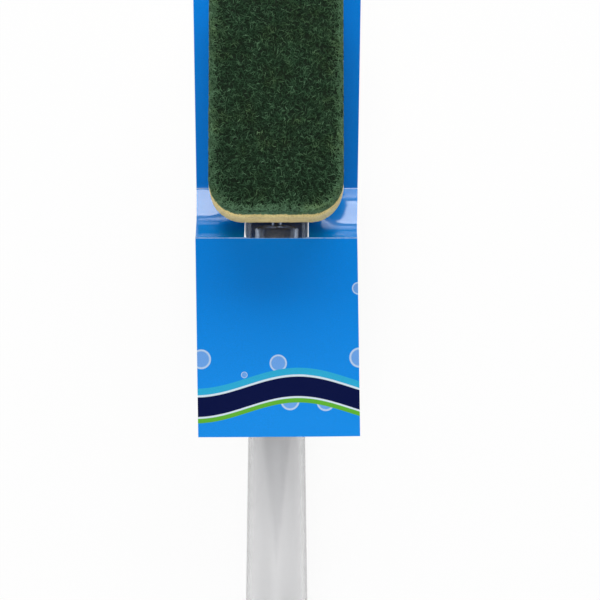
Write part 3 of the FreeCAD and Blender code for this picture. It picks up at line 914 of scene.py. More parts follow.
@dataclass(frozen=True)
class Handle:
    """Clear hollow handle: spout, taper, flattened neck, spine and rail."""

    axis_z: float
    rim_y: float
    spout_length: float = 13 * MM
    spout_radius: float = 11.3 * MM
    spout_bore: float = 9.8 * MM
    shoulder_length: float = 4 * MM
    grip_bore: float = 11.4 * MM
    end_radius: float = 13.4 * MM
    waist_radius: float = 11.7 * MM
    waist_bore: float = 9.7 * MM
    waist_position: float = 122 * MM
    length: float = 172 * MM
    neck_half: Span = (12.2 * MM, 8.2 * MM)
    neck_bore_half: Span = (9.4 * MM, 5.4 * MM)
    neck_drop: float = 3 * MM
    end_gap: float = 3.5 * MM
    dome: float = 2.4 * MM
    edge: float = 0.45 * MM
    weld: float = 0.002 * MM
    taper_steps: int = 12
    neck_steps: int = 24
    segments: int = 96
    tilt: float = math.radians(6.5)
    rail_height: float = 5.4 * MM
    rail_half: float = 13.5 * MM
    rail_thickness: float = 2.4 * MM
    rail_length: float = 52 * MM
    rail_root: float = 13 * MM
    rail_root_corner: float = 9 * MM
    rail_tip_corner: float = 4 * MM
    spine_half: float = 11 * MM
    spine_length: float = 50 * MM
    spine_shoulder: float = 10 * MM
    spine_nose: float = 4 * MM
    spine_root: float = 22 * MM
    spine_root_depth: float = 5 * MM
    spine_root_height: float = 7 * MM
    spine_corner: float = 2.4 * MM
    floor_drop: float = 13.5 * MM
    pocket_start: float = 12 * MM
    pocket_length: float = 28 * MM
    pocket_roof: float = 3.4 * MM
    pocket_inner: float = 4.25 * MM
    pocket_outer: float = 9 * MM
    outlet: float = 28 * MM
    duct_radius: float = 2.25 * MM
    duct_depth: float = 7.5 * MM
    seat_radius: float = 4.9 * MM
    seat_depth: float = 2.6 * MM
    thread_start: float = 1.6 * MM
    thread_sink: float = 0.06 * MM
    thread_height: float = 0.38 * MM
    thread_width: float = 1.5 * MM
    thread_crest: Span = (0.3, 0.7)
    thread_lead: float = 6 * MM
    thread_turns: float = 1.25

    @property
    def shoulder_y(self) -> float:
        """Station of the shoulder that the cap's rim faces."""
        return self.rim_y + self.spout_length

    @property
    def head(self) -> Matrix:
        """Frame of the refill: origin on the rail's root, +Y along the rail, +Z square to it."""
        origin = (0, self.shoulder_y + self.length, self.axis_z + self.rail_height)
        return Matrix.Translation(origin) @ Matrix.Rotation(-self.tilt, 4, "X")

    def build(self, material: Material) -> None:
        """Make the moulding and its thread.

        Args:
            material: Clear plastic.
        """
        bm = make_skin(self._outside(), self.segments)
        for member in (self._spine(), self._rail()):
            bm = combine(bm, member, "UNION")
        for cutter in (make_skin(self._inside(), self.segments), *self._cutters()):
            bm = combine(bm, cutter, "DIFFERENCE")
        bmesh.ops.remove_doubles(bm, verts=bm.verts, dist=self.weld)
        make_piece("clear_handle", bm, [material], Seat("handle", "clear_plastic", ("handle",)))
        make_piece("spout_thread", self._thread(), [material], Seat("handle", "clear_plastic"))

    def _outside(self) -> list[Station]:
        """Stations of the outer skin from the mouth to the end of the neck.

        Returns:
            The stations in order.
        """
        shoulder = self.shoulder_y
        rounds = [*self._softened(self.rim_y, self.spout_radius), (shoulder, self.spout_radius),
                  *self._softened(shoulder, self.end_radius)]
        for step in range(1, self.taper_steps):
            share = step / self.taper_steps
            radius = part_way(self.end_radius, self.waist_radius, share)
            rounds.append((shoulder + self.waist_position * share, radius))
        neck = self._neck(self.waist_radius, self.length, self.neck_half)
        return round_stations(rounds, self.axis_z) + neck

    def _softened(self, y: float, radius: float) -> list[Span]:
        """Places and radii of a softened edge that faces the cap."""
        near = 0.3 * self.edge
        return [(y, radius - self.edge), (y + near, radius - near), (y + self.edge, radius)]

    def _inside(self) -> list[Station]:
        """Stations of the detergent space from outside the mouth to its domed end.

        Returns:
            The stations in order.
        """
        rim, shoulder = self.rim_y, self.shoulder_y
        rounds = [(rim - self.edge, self.spout_bore + 1.5 * self.edge),
                  (rim + self.edge / 2, self.spout_bore)]
        for step in range(self.taper_steps // 2):
            share = 2 * step / self.taper_steps
            radius = part_way(self.spout_bore, self.grip_bore, ease(share))
            rounds.append((shoulder + self.shoulder_length * share, radius))
        run = self.waist_position - self.shoulder_length
        for step in range(self.taper_steps):
            share = step / self.taper_steps
            radius = part_way(self.grip_bore, self.waist_bore, share)
            rounds.append((shoulder + self.shoulder_length + run * share, radius))
        end = self.length - self.end_gap
        stations = round_stations(rounds, self.axis_z)
        stations += self._neck(self.waist_bore, end, self.neck_bore_half)
        half_width, half_height = self.neck_bore_half
        for degrees in range(10, 90, 10):
            turn = math.radians(degrees)
            stations.append((shoulder + end + self.dome * math.sin(turn), self.axis_z - self.neck_drop,
                             half_width * math.cos(turn), half_height * math.cos(turn)))
        return stations

    def _neck(self, waist: float, end: float, half: Span) -> list[Station]:
        """Stations that flatten from the round waist to the oval end.

        Args:
            waist: Radius of the waist.
            end: Station of the oval end, from the shoulder.
            half: Half width and half height of the oval end.

        Returns:
            The stations from the waist to the end.
        """
        stations = []
        for step in range(self.neck_steps + 1):
            share = step / self.neck_steps
            flat = ease(share)
            stations.append((
                self.shoulder_y + self.waist_position + (end - self.waist_position) * share,
                self.axis_z - self.neck_drop * flat,
                part_way(waist, half[0], flat),
                part_way(waist, half[1], flat),
            ))
        return stations

    def _spine(self) -> BMesh:
        """Wedge under the rail that stiffens it and rests on the table.

        Returns:
            The closed wedge, in its place.
        """
        to_row = Matrix.Translation((0, self.shoulder_y, self.axis_z))
        along = Vector((0, math.cos(self.tilt), -math.sin(self.tilt)))
        root = Vector((0, self.length, self.rail_height))
        nose = root + along * self.spine_length
        back = root - along * self.spine_shoulder
        foot = self.length - self.spine_root
        corners = [
            Vector((0, foot, -self.spine_root_depth)),
            Vector((0, self.length + self.spine_shoulder, -self.floor_drop)),
            Vector((0, nose.y - self.spine_nose, -self.floor_drop)),
            nose,
            back,
            Vector((0, foot, self.spine_root_height - self.spine_root_depth)),
        ]
        aside = Vector((self.spine_half, 0, 0))
        bm = make_prism([to_row @ (corner - aside) for corner in corners], 2 * aside)
        low = self.axis_z - self.floor_drop / 2
        neck_end = self.shoulder_y + self.length
        middles = {edge: (edge.verts[0].co + edge.verts[1].co) / 2 for edge in bm.edges}
        under = [edge for edge, middle in middles.items() if middle.z < low and middle.y > neck_end]
        round_edges(bm, under, self.spine_corner)
        return bm

    def _rail(self) -> BMesh:
        """Flat tongue whose overhanging edges carry the refill.

        Returns:
            The closed tongue, in its place.
        """
        corners = rectangle((-self.rail_half, self.rail_half), (-self.rail_root, self.rail_length), 0.0)
        bm = make_prism(corners, Vector((0, 0, -self.rail_thickness)))
        for end, corner, segments in ((-self.rail_root, self.rail_root_corner, 10),
                                      (self.rail_length, self.rail_tip_corner, 8)):
            upright = [edge for edge in bm.edges if abs(edge.verts[0].co.y - end) < SLACK
                       and abs(edge.verts[0].co.z - edge.verts[1].co.z) > self.rail_thickness / 2]
            round_edges(bm, upright, corner, segments)
        bmesh.ops.transform(bm, matrix=self.head, verts=bm.verts)
        return bm

    def _cutters(self) -> list[BMesh]:
        """Shapes taken out of the spine: two pockets, the duct, the outlet and the valve's seat.

        Returns:
            The closed shapes, in their places.
        """
        cutters = []
        along = (self.pocket_start, self.pocket_start + self.pocket_length)
        for side in (-1, 1):
            across = (side * self.pocket_inner, side * self.pocket_outer)
            corners = rectangle(across, along, -self.pocket_roof)
            cutters.append(make_prism(corners, Vector((0, 0, -2 * self.floor_drop))))
        start = -self.end_gap - 2 * self.duct_radius
        reach = self.outlet + self.duct_radius
        duct = self._bar(self.duct_radius, reach - start)
        bmesh.ops.rotate(duct, verts=duct.verts, matrix=Matrix.Rotation(-math.pi / 2, 3, "X"))
        bmesh.ops.translate(duct, verts=duct.verts, vec=(0, start, -self.duct_depth))
        cutters.append(duct)
        for radius, depth in ((self.duct_radius, self.duct_depth), (self.seat_radius, self.seat_depth)):
            well = self._bar(radius, 2 * depth)
            bmesh.ops.translate(well, verts=well.verts, vec=(0, self.outlet, -depth))
            cutters.append(well)
        for cutter in cutters:
            bmesh.ops.transform(cutter, matrix=self.head, verts=cutter.verts)
        return cutters

    def _bar(self, radius: float, length: float) -> BMesh:
        """Round bar from the origin along +Z.

        Args:
            radius: Radius of the bar.
            length: Its length.

        Returns:
            The closed bar.
        """
        bm = bmesh.new()
        bmesh.ops.create_cone(bm, cap_ends=True, segments=self.segments // 2, radius1=radius, radius2=radius,
                              depth=length)
        bmesh.ops.translate(bm, verts=bm.verts, vec=(0, 0, length / 2))
        return bm

    def _thread(self) -> BMesh:
        """Two-start ridge that winds round the spout.

        Returns:
            Both ridges, each closed.
        """
        bm = bmesh.new()
        steps = round(self.thread_turns * self.segments)
        low = self.spout_radius - self.thread_sink
        high = self.spout_radius + self.thread_height
        start = self.rim_y + self.thread_start
        crest = [(high, share * self.thread_width) for share in self.thread_crest]
        profile = [(low, 0.0), *crest, (low, self.thread_width)]
        for half_turn in (0.0, math.pi):
            points = [bm.verts.new((radius, start + y, self.axis_z)) for radius, y in profile]
            face = bm.faces.new(points)
            bmesh.ops.rotate(bm, verts=points, cent=(0, 0, self.axis_z),
                             matrix=Matrix.Rotation(half_turn, 3, "Y"))
            bmesh.ops.spin(bm, geom=[face], cent=(0, 0, self.axis_z), axis=(0, 1, 0),
                           dvec=(0, self.thread_lead / self.segments, 0),
                           angle=self.thread_turns * 2 * math.pi, steps=steps, use_duplicate=False)
        bmesh.ops.remove_doubles(bm, verts=bm.verts, dist=MERGE)
        bmesh.ops.recalc_face_normals(bm, faces=bm.faces)
        return bm


@dataclass(frozen=True)
class Outline:
    """Rounded rectangle of the refill in its own frame, with its length along +Y from 0."""

    width: float = 57 * MM
    length: float = 110 * MM
    corner: float = 14.4 * MM

    @property
    def perimeter(self) -> float:
        """Length of the way round."""
        straight = 2 * (self.width + self.length) - 8 * self.corner
        return straight + 2 * math.pi * self.corner

    def at(self, distance: float) -> tuple[Vector, Vector]:
        """Give the point and the outward direction a distance round the outline.

        Args:
            distance: Way from the middle of the tip, in metres; any value wraps round.

        Returns:
            The point and the unit normal, both flat.
        """
        left = distance % self.perimeter
        half = self.width / 2 - self.corner
        run = self.length - 2 * self.corner
        sides = [
            (half, Vector((1, 0, 0)), Vector((half, self.corner + run, 0))),
            (run, Vector((0, -1, 0)), Vector((half, self.corner, 0))),
            (2 * half, Vector((-1, 0, 0)), Vector((-half, self.corner, 0))),
            (run, Vector((0, 1, 0)), Vector((-half, self.corner + run, 0))),
        ]
        point = Vector((0, self.length, 0))
        arc = self.corner * math.pi / 2
        for straight, along, centre in sides:
            normal = Vector((-along.y, along.x, 0))
            if left <= straight:
                return point + along * left, normal
            left -= straight
            if left <= arc:
                turned = Matrix.Rotation(-left / self.corner, 3, "Z") @ normal
                return centre + turned * self.corner, turned
            left -= arc
            point = centre + Matrix.Rotation(-math.pi / 2, 3, "Z") @ normal * self.corner
        return point + Vector((left, 0, 0)), Vector((0, 1, 0))

    def depth(self, point: Vector) -> tuple[float, Vector]:
        """Give how far inside the outline a point lies, and the outward direction there.

        Args:
            point: Place in the refill's frame, at any height.

        Returns:
            The depth, below 0 outside, and the flat unit normal.
        """
        x, y = point.x, point.y - self.length / 2
        beyond = Vector((abs(x) - self.width / 2 + self.corner, abs(y) - self.length / 2 + self.corner, 0))
        sign = Vector((math.copysign(1, x), math.copysign(1, y), 0))
        if beyond.x > 0 and beyond.y > 0:
            out = beyond.normalized()
            distance = self.corner - beyond.length
        elif beyond.x > beyond.y:
            out, distance = Vector((1, 0, 0)), self.corner - beyond.x
        else:
            out, distance = Vector((0, 1, 0)), self.corner - beyond.y
        return distance, Vector((out.x * sign.x, out.y * sign.y, 0))

    def ring(self, bm: BMesh, inset: float, z: float, pitch: float) -> list[BMVert]:
        """Lay points round the outline.

        Args:
            bm: Mesh that receives the points and the edges between them.
            inset: How far the points lie inside the outline.
            z: Their height.
            pitch: Their spacing.

        Returns:
            The points in order.
        """
        count = round(self.perimeter / pitch)
        verts = bmesh.ops.create_circle(bm, segments=count, radius=1.0)["verts"]
        for number, vert in enumerate(verts):
            point, normal = self.at(self.perimeter * number / count)
            vert.co = point - normal * inset + Vector((0, 0, z))
        return verts


@dataclass(frozen=True)
class Refill:
    """Sponge and scouring pad on their plate, in the frame of the rail."""

    head: Matrix
    outline: Outline = field(default_factory=Outline)
    plate_top: float = 2.6 * MM
    sponge_top: float = 20.6 * MM
    pad_top: float = 28.6 * MM
    seed: int = 11
    skin_pitch: float = 0.42 * MM
    pore_pitch: float = 1.5 * MM
    pore_depth: float = 0.55 * MM
    pore_mouth: float = 0.42
    fine_pores: float = 2.4
    fine_mouth: float = 0.45
    fine_depth: float = 0.45
    sponge_color: Color = (0.90, 0.73, 0.33)
    sponge_shade: Color = (0.46, 0.34, 0.115)
    sponge_edge: float = 0.5 * MM
    sponge_bulge: float = 0.8 * MM
    swell: float = 0.35
    swell_pitch: float = 9 * MM
    pad_edge: float = 1.3 * MM
    core_inset: float = 0.55 * MM
    core_pitch: float = 0.9 * MM
    core_levels: tuple[float, ...] = (0.25, 0.5, 0.75, 0.92, 1.0)
    core_lump: float = 0.25 * MM
    lump_pitch: float = 2.2 * MM
    core_drop: float = 0.4
    fibre_points: int = 3
    fibre_step: float = 0.85 * MM
    fibre_radius: float = 0.12 * MM
    fibre_girth: Span = (0.7, 1.35)
    wander: float = 0.25
    face_fibres: int = 19000
    face_bend: float = 0.55
    face_sink: float = 0.5 * MM
    face_deepest: float = 1.3 * MM
    face_arch: float = 0.45 * MM
    face_margin: float = 0.2 * MM
    face_cover: float = 0.3 * MM
    rim_fibres: int = 7500
    rim_bend: float = 0.5
    rim_sink: float = 0.35 * MM
    rim_over: float = 1.5 * MM
    rim_margin: Span = (0.15 * MM, 0.2 * MM)
    rim_round: float = 0.6
    # Painted light: extra chance of lighter strands on and near the rim, more at the end towards the cap.
    rim_painted_light: float = 2.8
    face_rim_painted_light: float = 1.7
    rim_reach: float = 7 * MM
    tail_painted_light: float = 1.2
    specks: float = 0.012
    picks: dict[FibreShade, float] = field(default_factory=lambda: {
        FibreShade.DARK: 0.42, FibreShade.MID: 0.84, FibreShade.LIGHT: 2.6, FibreShade.WORN: math.inf})

    def build(self) -> None:
        """Make both soft layers."""
        self._sponge()
        self._pad()

    def _sponge(self) -> None:
        """Foam block with open pores on its sides."""
        bm = bmesh.new()
        height = self.sponge_top - self.plate_top
        layers = round(height / self.skin_pitch)
        edges = edges_of(self.outline.ring(bm, self.sponge_edge, self.plate_top, self.skin_pitch))
        close_ring(bm, edges)
        for _ in range(layers):
            verts, edges = grow_ring(bm, edges)
            bmesh.ops.translate(bm, verts=verts, vec=(0, 0, height / layers))
        close_ring(bm, edges)
        bmesh.ops.recalc_face_normals(bm, faces=bm.faces)
        for vert in bm.verts:
            self._pierce(vert, height)
        bmesh.ops.transform(bm, matrix=self.head, verts=bm.verts)
        foam = FoamFinish("sponge_foam", self.sponge_color, self.sponge_shade).build()
        piece = make_piece("sponge_block", bm, [foam], Seat("refill", "sponge", ("sponge",)))

    def _pierce(self, vert: BMVert, height: float) -> None:
        """Sink a point of the sponge's side into a pore, and round the block's long edges.

        Args:
            vert: Point of the block, which is moved.
            height: Height of the block.
        """
        level = vert.co.z - self.plate_top
        edge = min(level, height - level)
        _, out = self.outline.depth(vert.co)
        near = noise.voronoi(vert.co / self.pore_pitch)[0][0]
        fine = noise.voronoi(vert.co * self.fine_pores / self.pore_pitch)[0][0]
        pore = max(0.0, 1 - near / self.pore_mouth) + self.fine_depth * max(0.0, 1 - fine / self.fine_mouth)
        swell = self.swell * noise.noise(vert.co / self.swell_pitch)
        full = self.sponge_bulge * (1 + max(0.0, -out.y))
        bulge = full * (1 - max(0.0, 1 - edge / full) ** 2)
        vert.co += out * (bulge - self.pore_depth * pore + (swell - self.swell) * self.sponge_edge)

    def _pad(self) -> None:
        """Scouring pad: a lumpy core, near black with painted shade, in a web of curved fibres."""
        draw = random.Random(self.seed)
        bm = self._core()
        self._add_web(bm, draw)
        bmesh.ops.transform(bm, matrix=self.head, verts=bm.verts)
        materials = [ScouringFibre(shade).build() for shade in FibreShade]
        piece = make_piece("scouring_web", bm, materials, Seat("refill", "scouring_fibre", ("scouring_pad",)))

    def _core(self) -> BMesh:
        """Dense inside of the pad.

        Returns:
            The closed core, in the refill's frame.
        """
        bm = bmesh.new()
        top = self.pad_top - self.core_inset
        edges = edges_of(self.outline.ring(bm, self.core_inset, self.sponge_top, self.core_pitch))
        close_ring(bm, edges)
        for share in self.core_levels:
            verts, edges = grow_ring(bm, edges)
            for vert in verts:
                vert.co.z = part_way(self.sponge_top, top, share)
        roof = close_ring(bm, edges)
        bmesh.ops.inset_region(bm, faces=roof, thickness=self.pad_edge, use_even_offset=True)
        bmesh.ops.triangulate(bm, faces=roof)
        bmesh.ops.recalc_face_normals(bm, faces=bm.faces)
        for vert in bm.verts:
            lump = noise.noise(vert.co / self.lump_pitch)
            depth, out = self.outline.depth(vert.co)
            vert.co -= out * self.core_lump * abs(lump)
            if vert.co.z > top - SLACK and depth < self.core_inset + 2 * SLACK:
                vert.co.z -= self.core_drop * self.pad_edge
        return bm

    def _add_web(self, bm: BMesh, draw: random.Random) -> None:
        """Lay fibres over the pad's face, rim and sides.

        Args:
            bm: Mesh that receives the strands.
            draw: Seeded source of chance.
        """
        curves = {shade: self._new_curve(shade) for shade in FibreShade if shade is not FibreShade.CORE}
        for _ in range(self.face_fibres):
            path = self._face_path(draw)
            # Painted light: strands near the rim, and most near the end towards the cap, take lighter shades,
            # as light catches the pad's edges there.
            near_rim = max(0.0, 1 - self.outline.depth(path[0])[0] / self.rim_reach)
            self._add_fibre(curves, path, draw, self.face_rim_painted_light * near_rim)
        for _ in range(self.rim_fibres):
            path = self._rim_path(draw)
            near_tail = max(0.0, 1 - path[0].y / self.rim_reach)
            self._add_fibre(curves, path, draw, self.rim_painted_light * (1 + self.tail_painted_light * near_tail))
        for number, curve in enumerate(curves.values(), start=1):
            thing = bpy.data.objects.new(curve.name, curve)
            strands = bpy.data.meshes.new_from_object(thing)
            before = len(bm.faces)
            bm.from_mesh(strands)
            bm.faces.ensure_lookup_table()
            for face in bm.faces[before:]:
                face.material_index = number
            bpy.data.objects.remove(thing)
            bpy.data.meshes.remove(strands)
            bpy.data.curves.remove(curve)

    def _new_curve(self, shade: FibreShade) -> bpy.types.Curve:
        """Empty bundle of thin round strands.

        Args:
            shade: Shade of the strands.

        Returns:
            The curve, which holds no strand yet.
        """
        curve = bpy.data.curves.new(f"strands_{shade.name.lower()}", "CURVE")
        curve.dimensions = "3D"
        curve.bevel_depth = self.fibre_radius
        curve.bevel_resolution = 0
        return curve

    def _add_fibre(self, curves: dict[FibreShade, bpy.types.Curve], path: Sequence[Vector],
                   draw: random.Random, brighter: float) -> None:
        """Add one strand to the bundle of a drawn shade.

        Args:
            curves: Bundles by shade.
            path: Points of the strand.
            draw: Seeded source of chance.
            brighter: Extra chance of a lighter shade, which paints light on strands near the rim.
        """
        chance = draw.random()
        pick = chance + brighter * draw.random()
        shade = next(shade for shade, most in self.picks.items() if pick < most)
        if chance > 1 - self.specks:
            shade = FibreShade.WORN
        spline = curves[shade].splines.new("POLY")
        spline.points.add(len(path) - 1)
        girth = draw.uniform(*self.fibre_girth)
        for point, place in zip(spline.points, path):
            point.co = (*place, 1.0)
            point.radius = girth

    def _face_path(self, draw: random.Random) -> list[Vector]:
        """Wandering path close under the pad's face.

        Args:
            draw: Seeded source of chance.

        Returns:
            The points of one strand.
        """
        width, length = self.outline.width, self.outline.length
        place = Vector((draw.uniform(-0.5, 0.5) * width, draw.uniform(0, 1) * length, 0))
        heading = draw.uniform(0, 2 * math.pi)
        bend = draw.gauss(0, self.face_bend)
        sink = min(self.face_deepest, abs(draw.gauss(0, self.face_sink)))
        arch = draw.uniform(0, self.face_arch)
        path = []
        for step in range(self.fibre_points):
            depth, out = self.outline.depth(place)
            inside = place - out * max(0.0, self.face_margin - depth)
            drop = max(0.0, self.pad_edge - max(depth, 0.0))
            fall = drop * drop / self.pad_edge
            lift = arch * math.sin(math.pi * step / (self.fibre_points - 1))
            path.append(inside + Vector((0, 0, self.pad_top - sink - fall + lift - self.face_cover)))
            heading += bend + draw.gauss(0, self.wander)
            place = place + Vector((math.cos(heading), math.sin(heading), 0)) * self.fibre_step
        return path

    def _rim_path(self, draw: random.Random) -> list[Vector]:
        """Wandering path over the pad's side and rim.

        Args:
            draw: Seeded source of chance.

        Returns:
            The points of one strand.
        """
        around = draw.uniform(0, self.outline.perimeter)
        tall = self.pad_top - self.sponge_top
        climb = draw.uniform(0.0, tall + self.rim_over)
        heading = draw.uniform(0, 2 * math.pi)
        bend = draw.gauss(0, self.rim_bend)
        sink = abs(draw.gauss(0, self.rim_sink))
        low, high = self.rim_margin
        path = []
        for _ in range(self.fibre_points):
            point, out = self.outline.at(around)
            level = min(max(climb, low), tall - high)
            over = max(0.0, climb - tall)
            drop = max(0.0, level - tall + self.pad_edge)
            inset = sink + over + drop * drop / self.pad_edge * self.rim_round
            path.append(point - out * inset + Vector((0, 0, self.sponge_top + level)))
            heading += bend + draw.gauss(0, self.wander)
            around += math.cos(heading) * self.fibre_step
            climb += math.sin(heading) * self.fibre_step
        return path


@dataclass(frozen=True)
class FillerCap:
    """Screw cap with a fluted skirt, and its flat hanging lug."""

    axis_z: float
    rim_y: float
    end_y: float
    liner_y: float
    radius: float = 13.5 * MM
    bore: float = 11.8 * MM
    edge: float = 1.6 * MM
    rim_edge: float = 0.4 * MM
    skirt_levels: tuple[float, ...] = (0.3, 0.6, 0.85, 0.95, 1)
    flutes: int = 24
    flute_half: float = 0.95 * MM
    flute_depth: float = 0.6 * MM
    flute_end: float = 2.6 * MM
    flute_fade: float = 0.8 * MM
    points_per_flute: int = 10
    lug_length: float = 14 * MM
    lug_half: float = 8 * MM
    lug_thickness: float = 5 * MM
    lug_corner: float = 6 * MM
    lug_edge: float = 0.8 * MM
    lug_sink: float = 0.3 * MM
    lug_sharp: float = math.radians(60)
    hole_radius: float = 3.5 * MM
    hole_margin: float = 7.5 * MM
    hole_segments: int = 48
    corner_segments: int = 12

    def build(self, material: Material) -> None:
        """Make the cap and the lug.

        Args:
            material: Plastic of both.
        """
        bm = make_skin([*reversed(self._outside()), *self._inside()], self.flutes * self.points_per_flute)
        for vert in bm.verts:
            self._flute(vert)
        make_piece("screw_cap", bm, [material], Seat("cap", "cap_plastic", ("end_cap",)))
        make_piece("lug", self._lug(), [material], Seat("cap", "cap_plastic", ("hang_lug",)))

    def _outside(self) -> list[Station]:
        """Stations of the skirt and the rounded end.

        Returns:
            The stations from the rim to the end.
        """
        rounds = [(self.rim_y, self.radius - self.rim_edge), (self.rim_y - self.rim_edge, self.radius)]
        skirt_end = self.end_y + self.flute_end
        rounds += [(part_way(self.rim_y, skirt_end, share), self.radius) for share in self.skirt_levels]
        for degrees in range(0, 91, 15):
            turn = math.radians(degrees)
            rounds.append((self.end_y + self.edge * (1 - math.sin(turn)),
                           self.radius - self.edge * (1 - math.cos(turn))))
        rounds.append((self.end_y, 0.5 * self.radius))
        return round_stations(rounds, self.axis_z)

    def _inside(self) -> list[Station]:
        """Stations of the bore up to the face that holds the liner.

        Returns:
            The stations from the rim to the liner.
        """
        rounds = [(self.rim_y, self.bore + self.rim_edge), (self.rim_y - self.rim_edge, self.bore),
                  (self.liner_y, self.bore), (self.liner_y, 0.5 * self.bore)]
        return round_stations(rounds, self.axis_z)

    def _flute(self, vert: BMVert) -> None:
        """Sink a point of the skirt that lies in a flute.

        Args:
            vert: Point of the cap, which is moved.
        """
        flat = Vector((vert.co.x, 0, vert.co.z - self.axis_z))
        fade = held((vert.co.y - self.end_y - self.flute_end + self.flute_fade) / self.flute_fade)
        if flat.length < self.radius - self.rim_edge - SLACK or not fade:
            return
        pitch = 2 * math.pi / self.flutes
        angle = math.atan2(flat.x, flat.z) % pitch
        off = min(angle, pitch - angle) * self.radius / self.flute_half
        sink = self.flute_depth * fade * max(0.0, 1 - off * off)
        vert.co -= flat.normalized() * sink

    def _lug(self) -> BMesh:
        """Flat eye with a round hole.

        Returns:
            The closed lug, in its place.
        """
        bm = bmesh.new()
        tip = self.end_y - self.lug_length
        root = self.end_y + self.lug_sink
        low = self.axis_z - self.lug_thickness / 2
        corners = rectangle((-self.lug_half, self.lug_half), (root, tip), low)
        outer = [bm.verts.new(corner) for corner in corners]
        for start, end in zip(outer, outer[1:] + outer[:1]):
            bm.edges.new((start, end))
        bmesh.ops.bevel(bm, geom=outer[2:], offset=self.lug_corner, offset_type="OFFSET", affect="VERTICES",
                        segments=self.corner_segments, profile=0.5, material=-1)
        hole = bmesh.ops.create_circle(bm, segments=self.hole_segments, radius=self.hole_radius)["verts"]
        bmesh.ops.translate(bm, verts=hole, vec=(0, tip + self.hole_margin, low))
        filled = bmesh.ops.triangle_fill(bm, use_beauty=True, use_dissolve=True, edges=bm.edges)["geom"]
        eye = [item for item in filled if isinstance(item, BMFace)]
        push_faces(bm, eye, Vector((0, 0, self.lug_thickness)))
        sharp = [edge for edge in bm.edges if edge.calc_face_angle(0.0) > self.lug_sharp
                 and all(vert.co.y < root - SLACK for vert in edge.verts)]
        round_edges(bm, sharp, self.lug_edge, 3)
        return bm


class CardFace(Enum):
    """Faces of the folded sheet, by the number of their material."""

    PRINT = 0
    BOARD = 1
    EDGE = 2


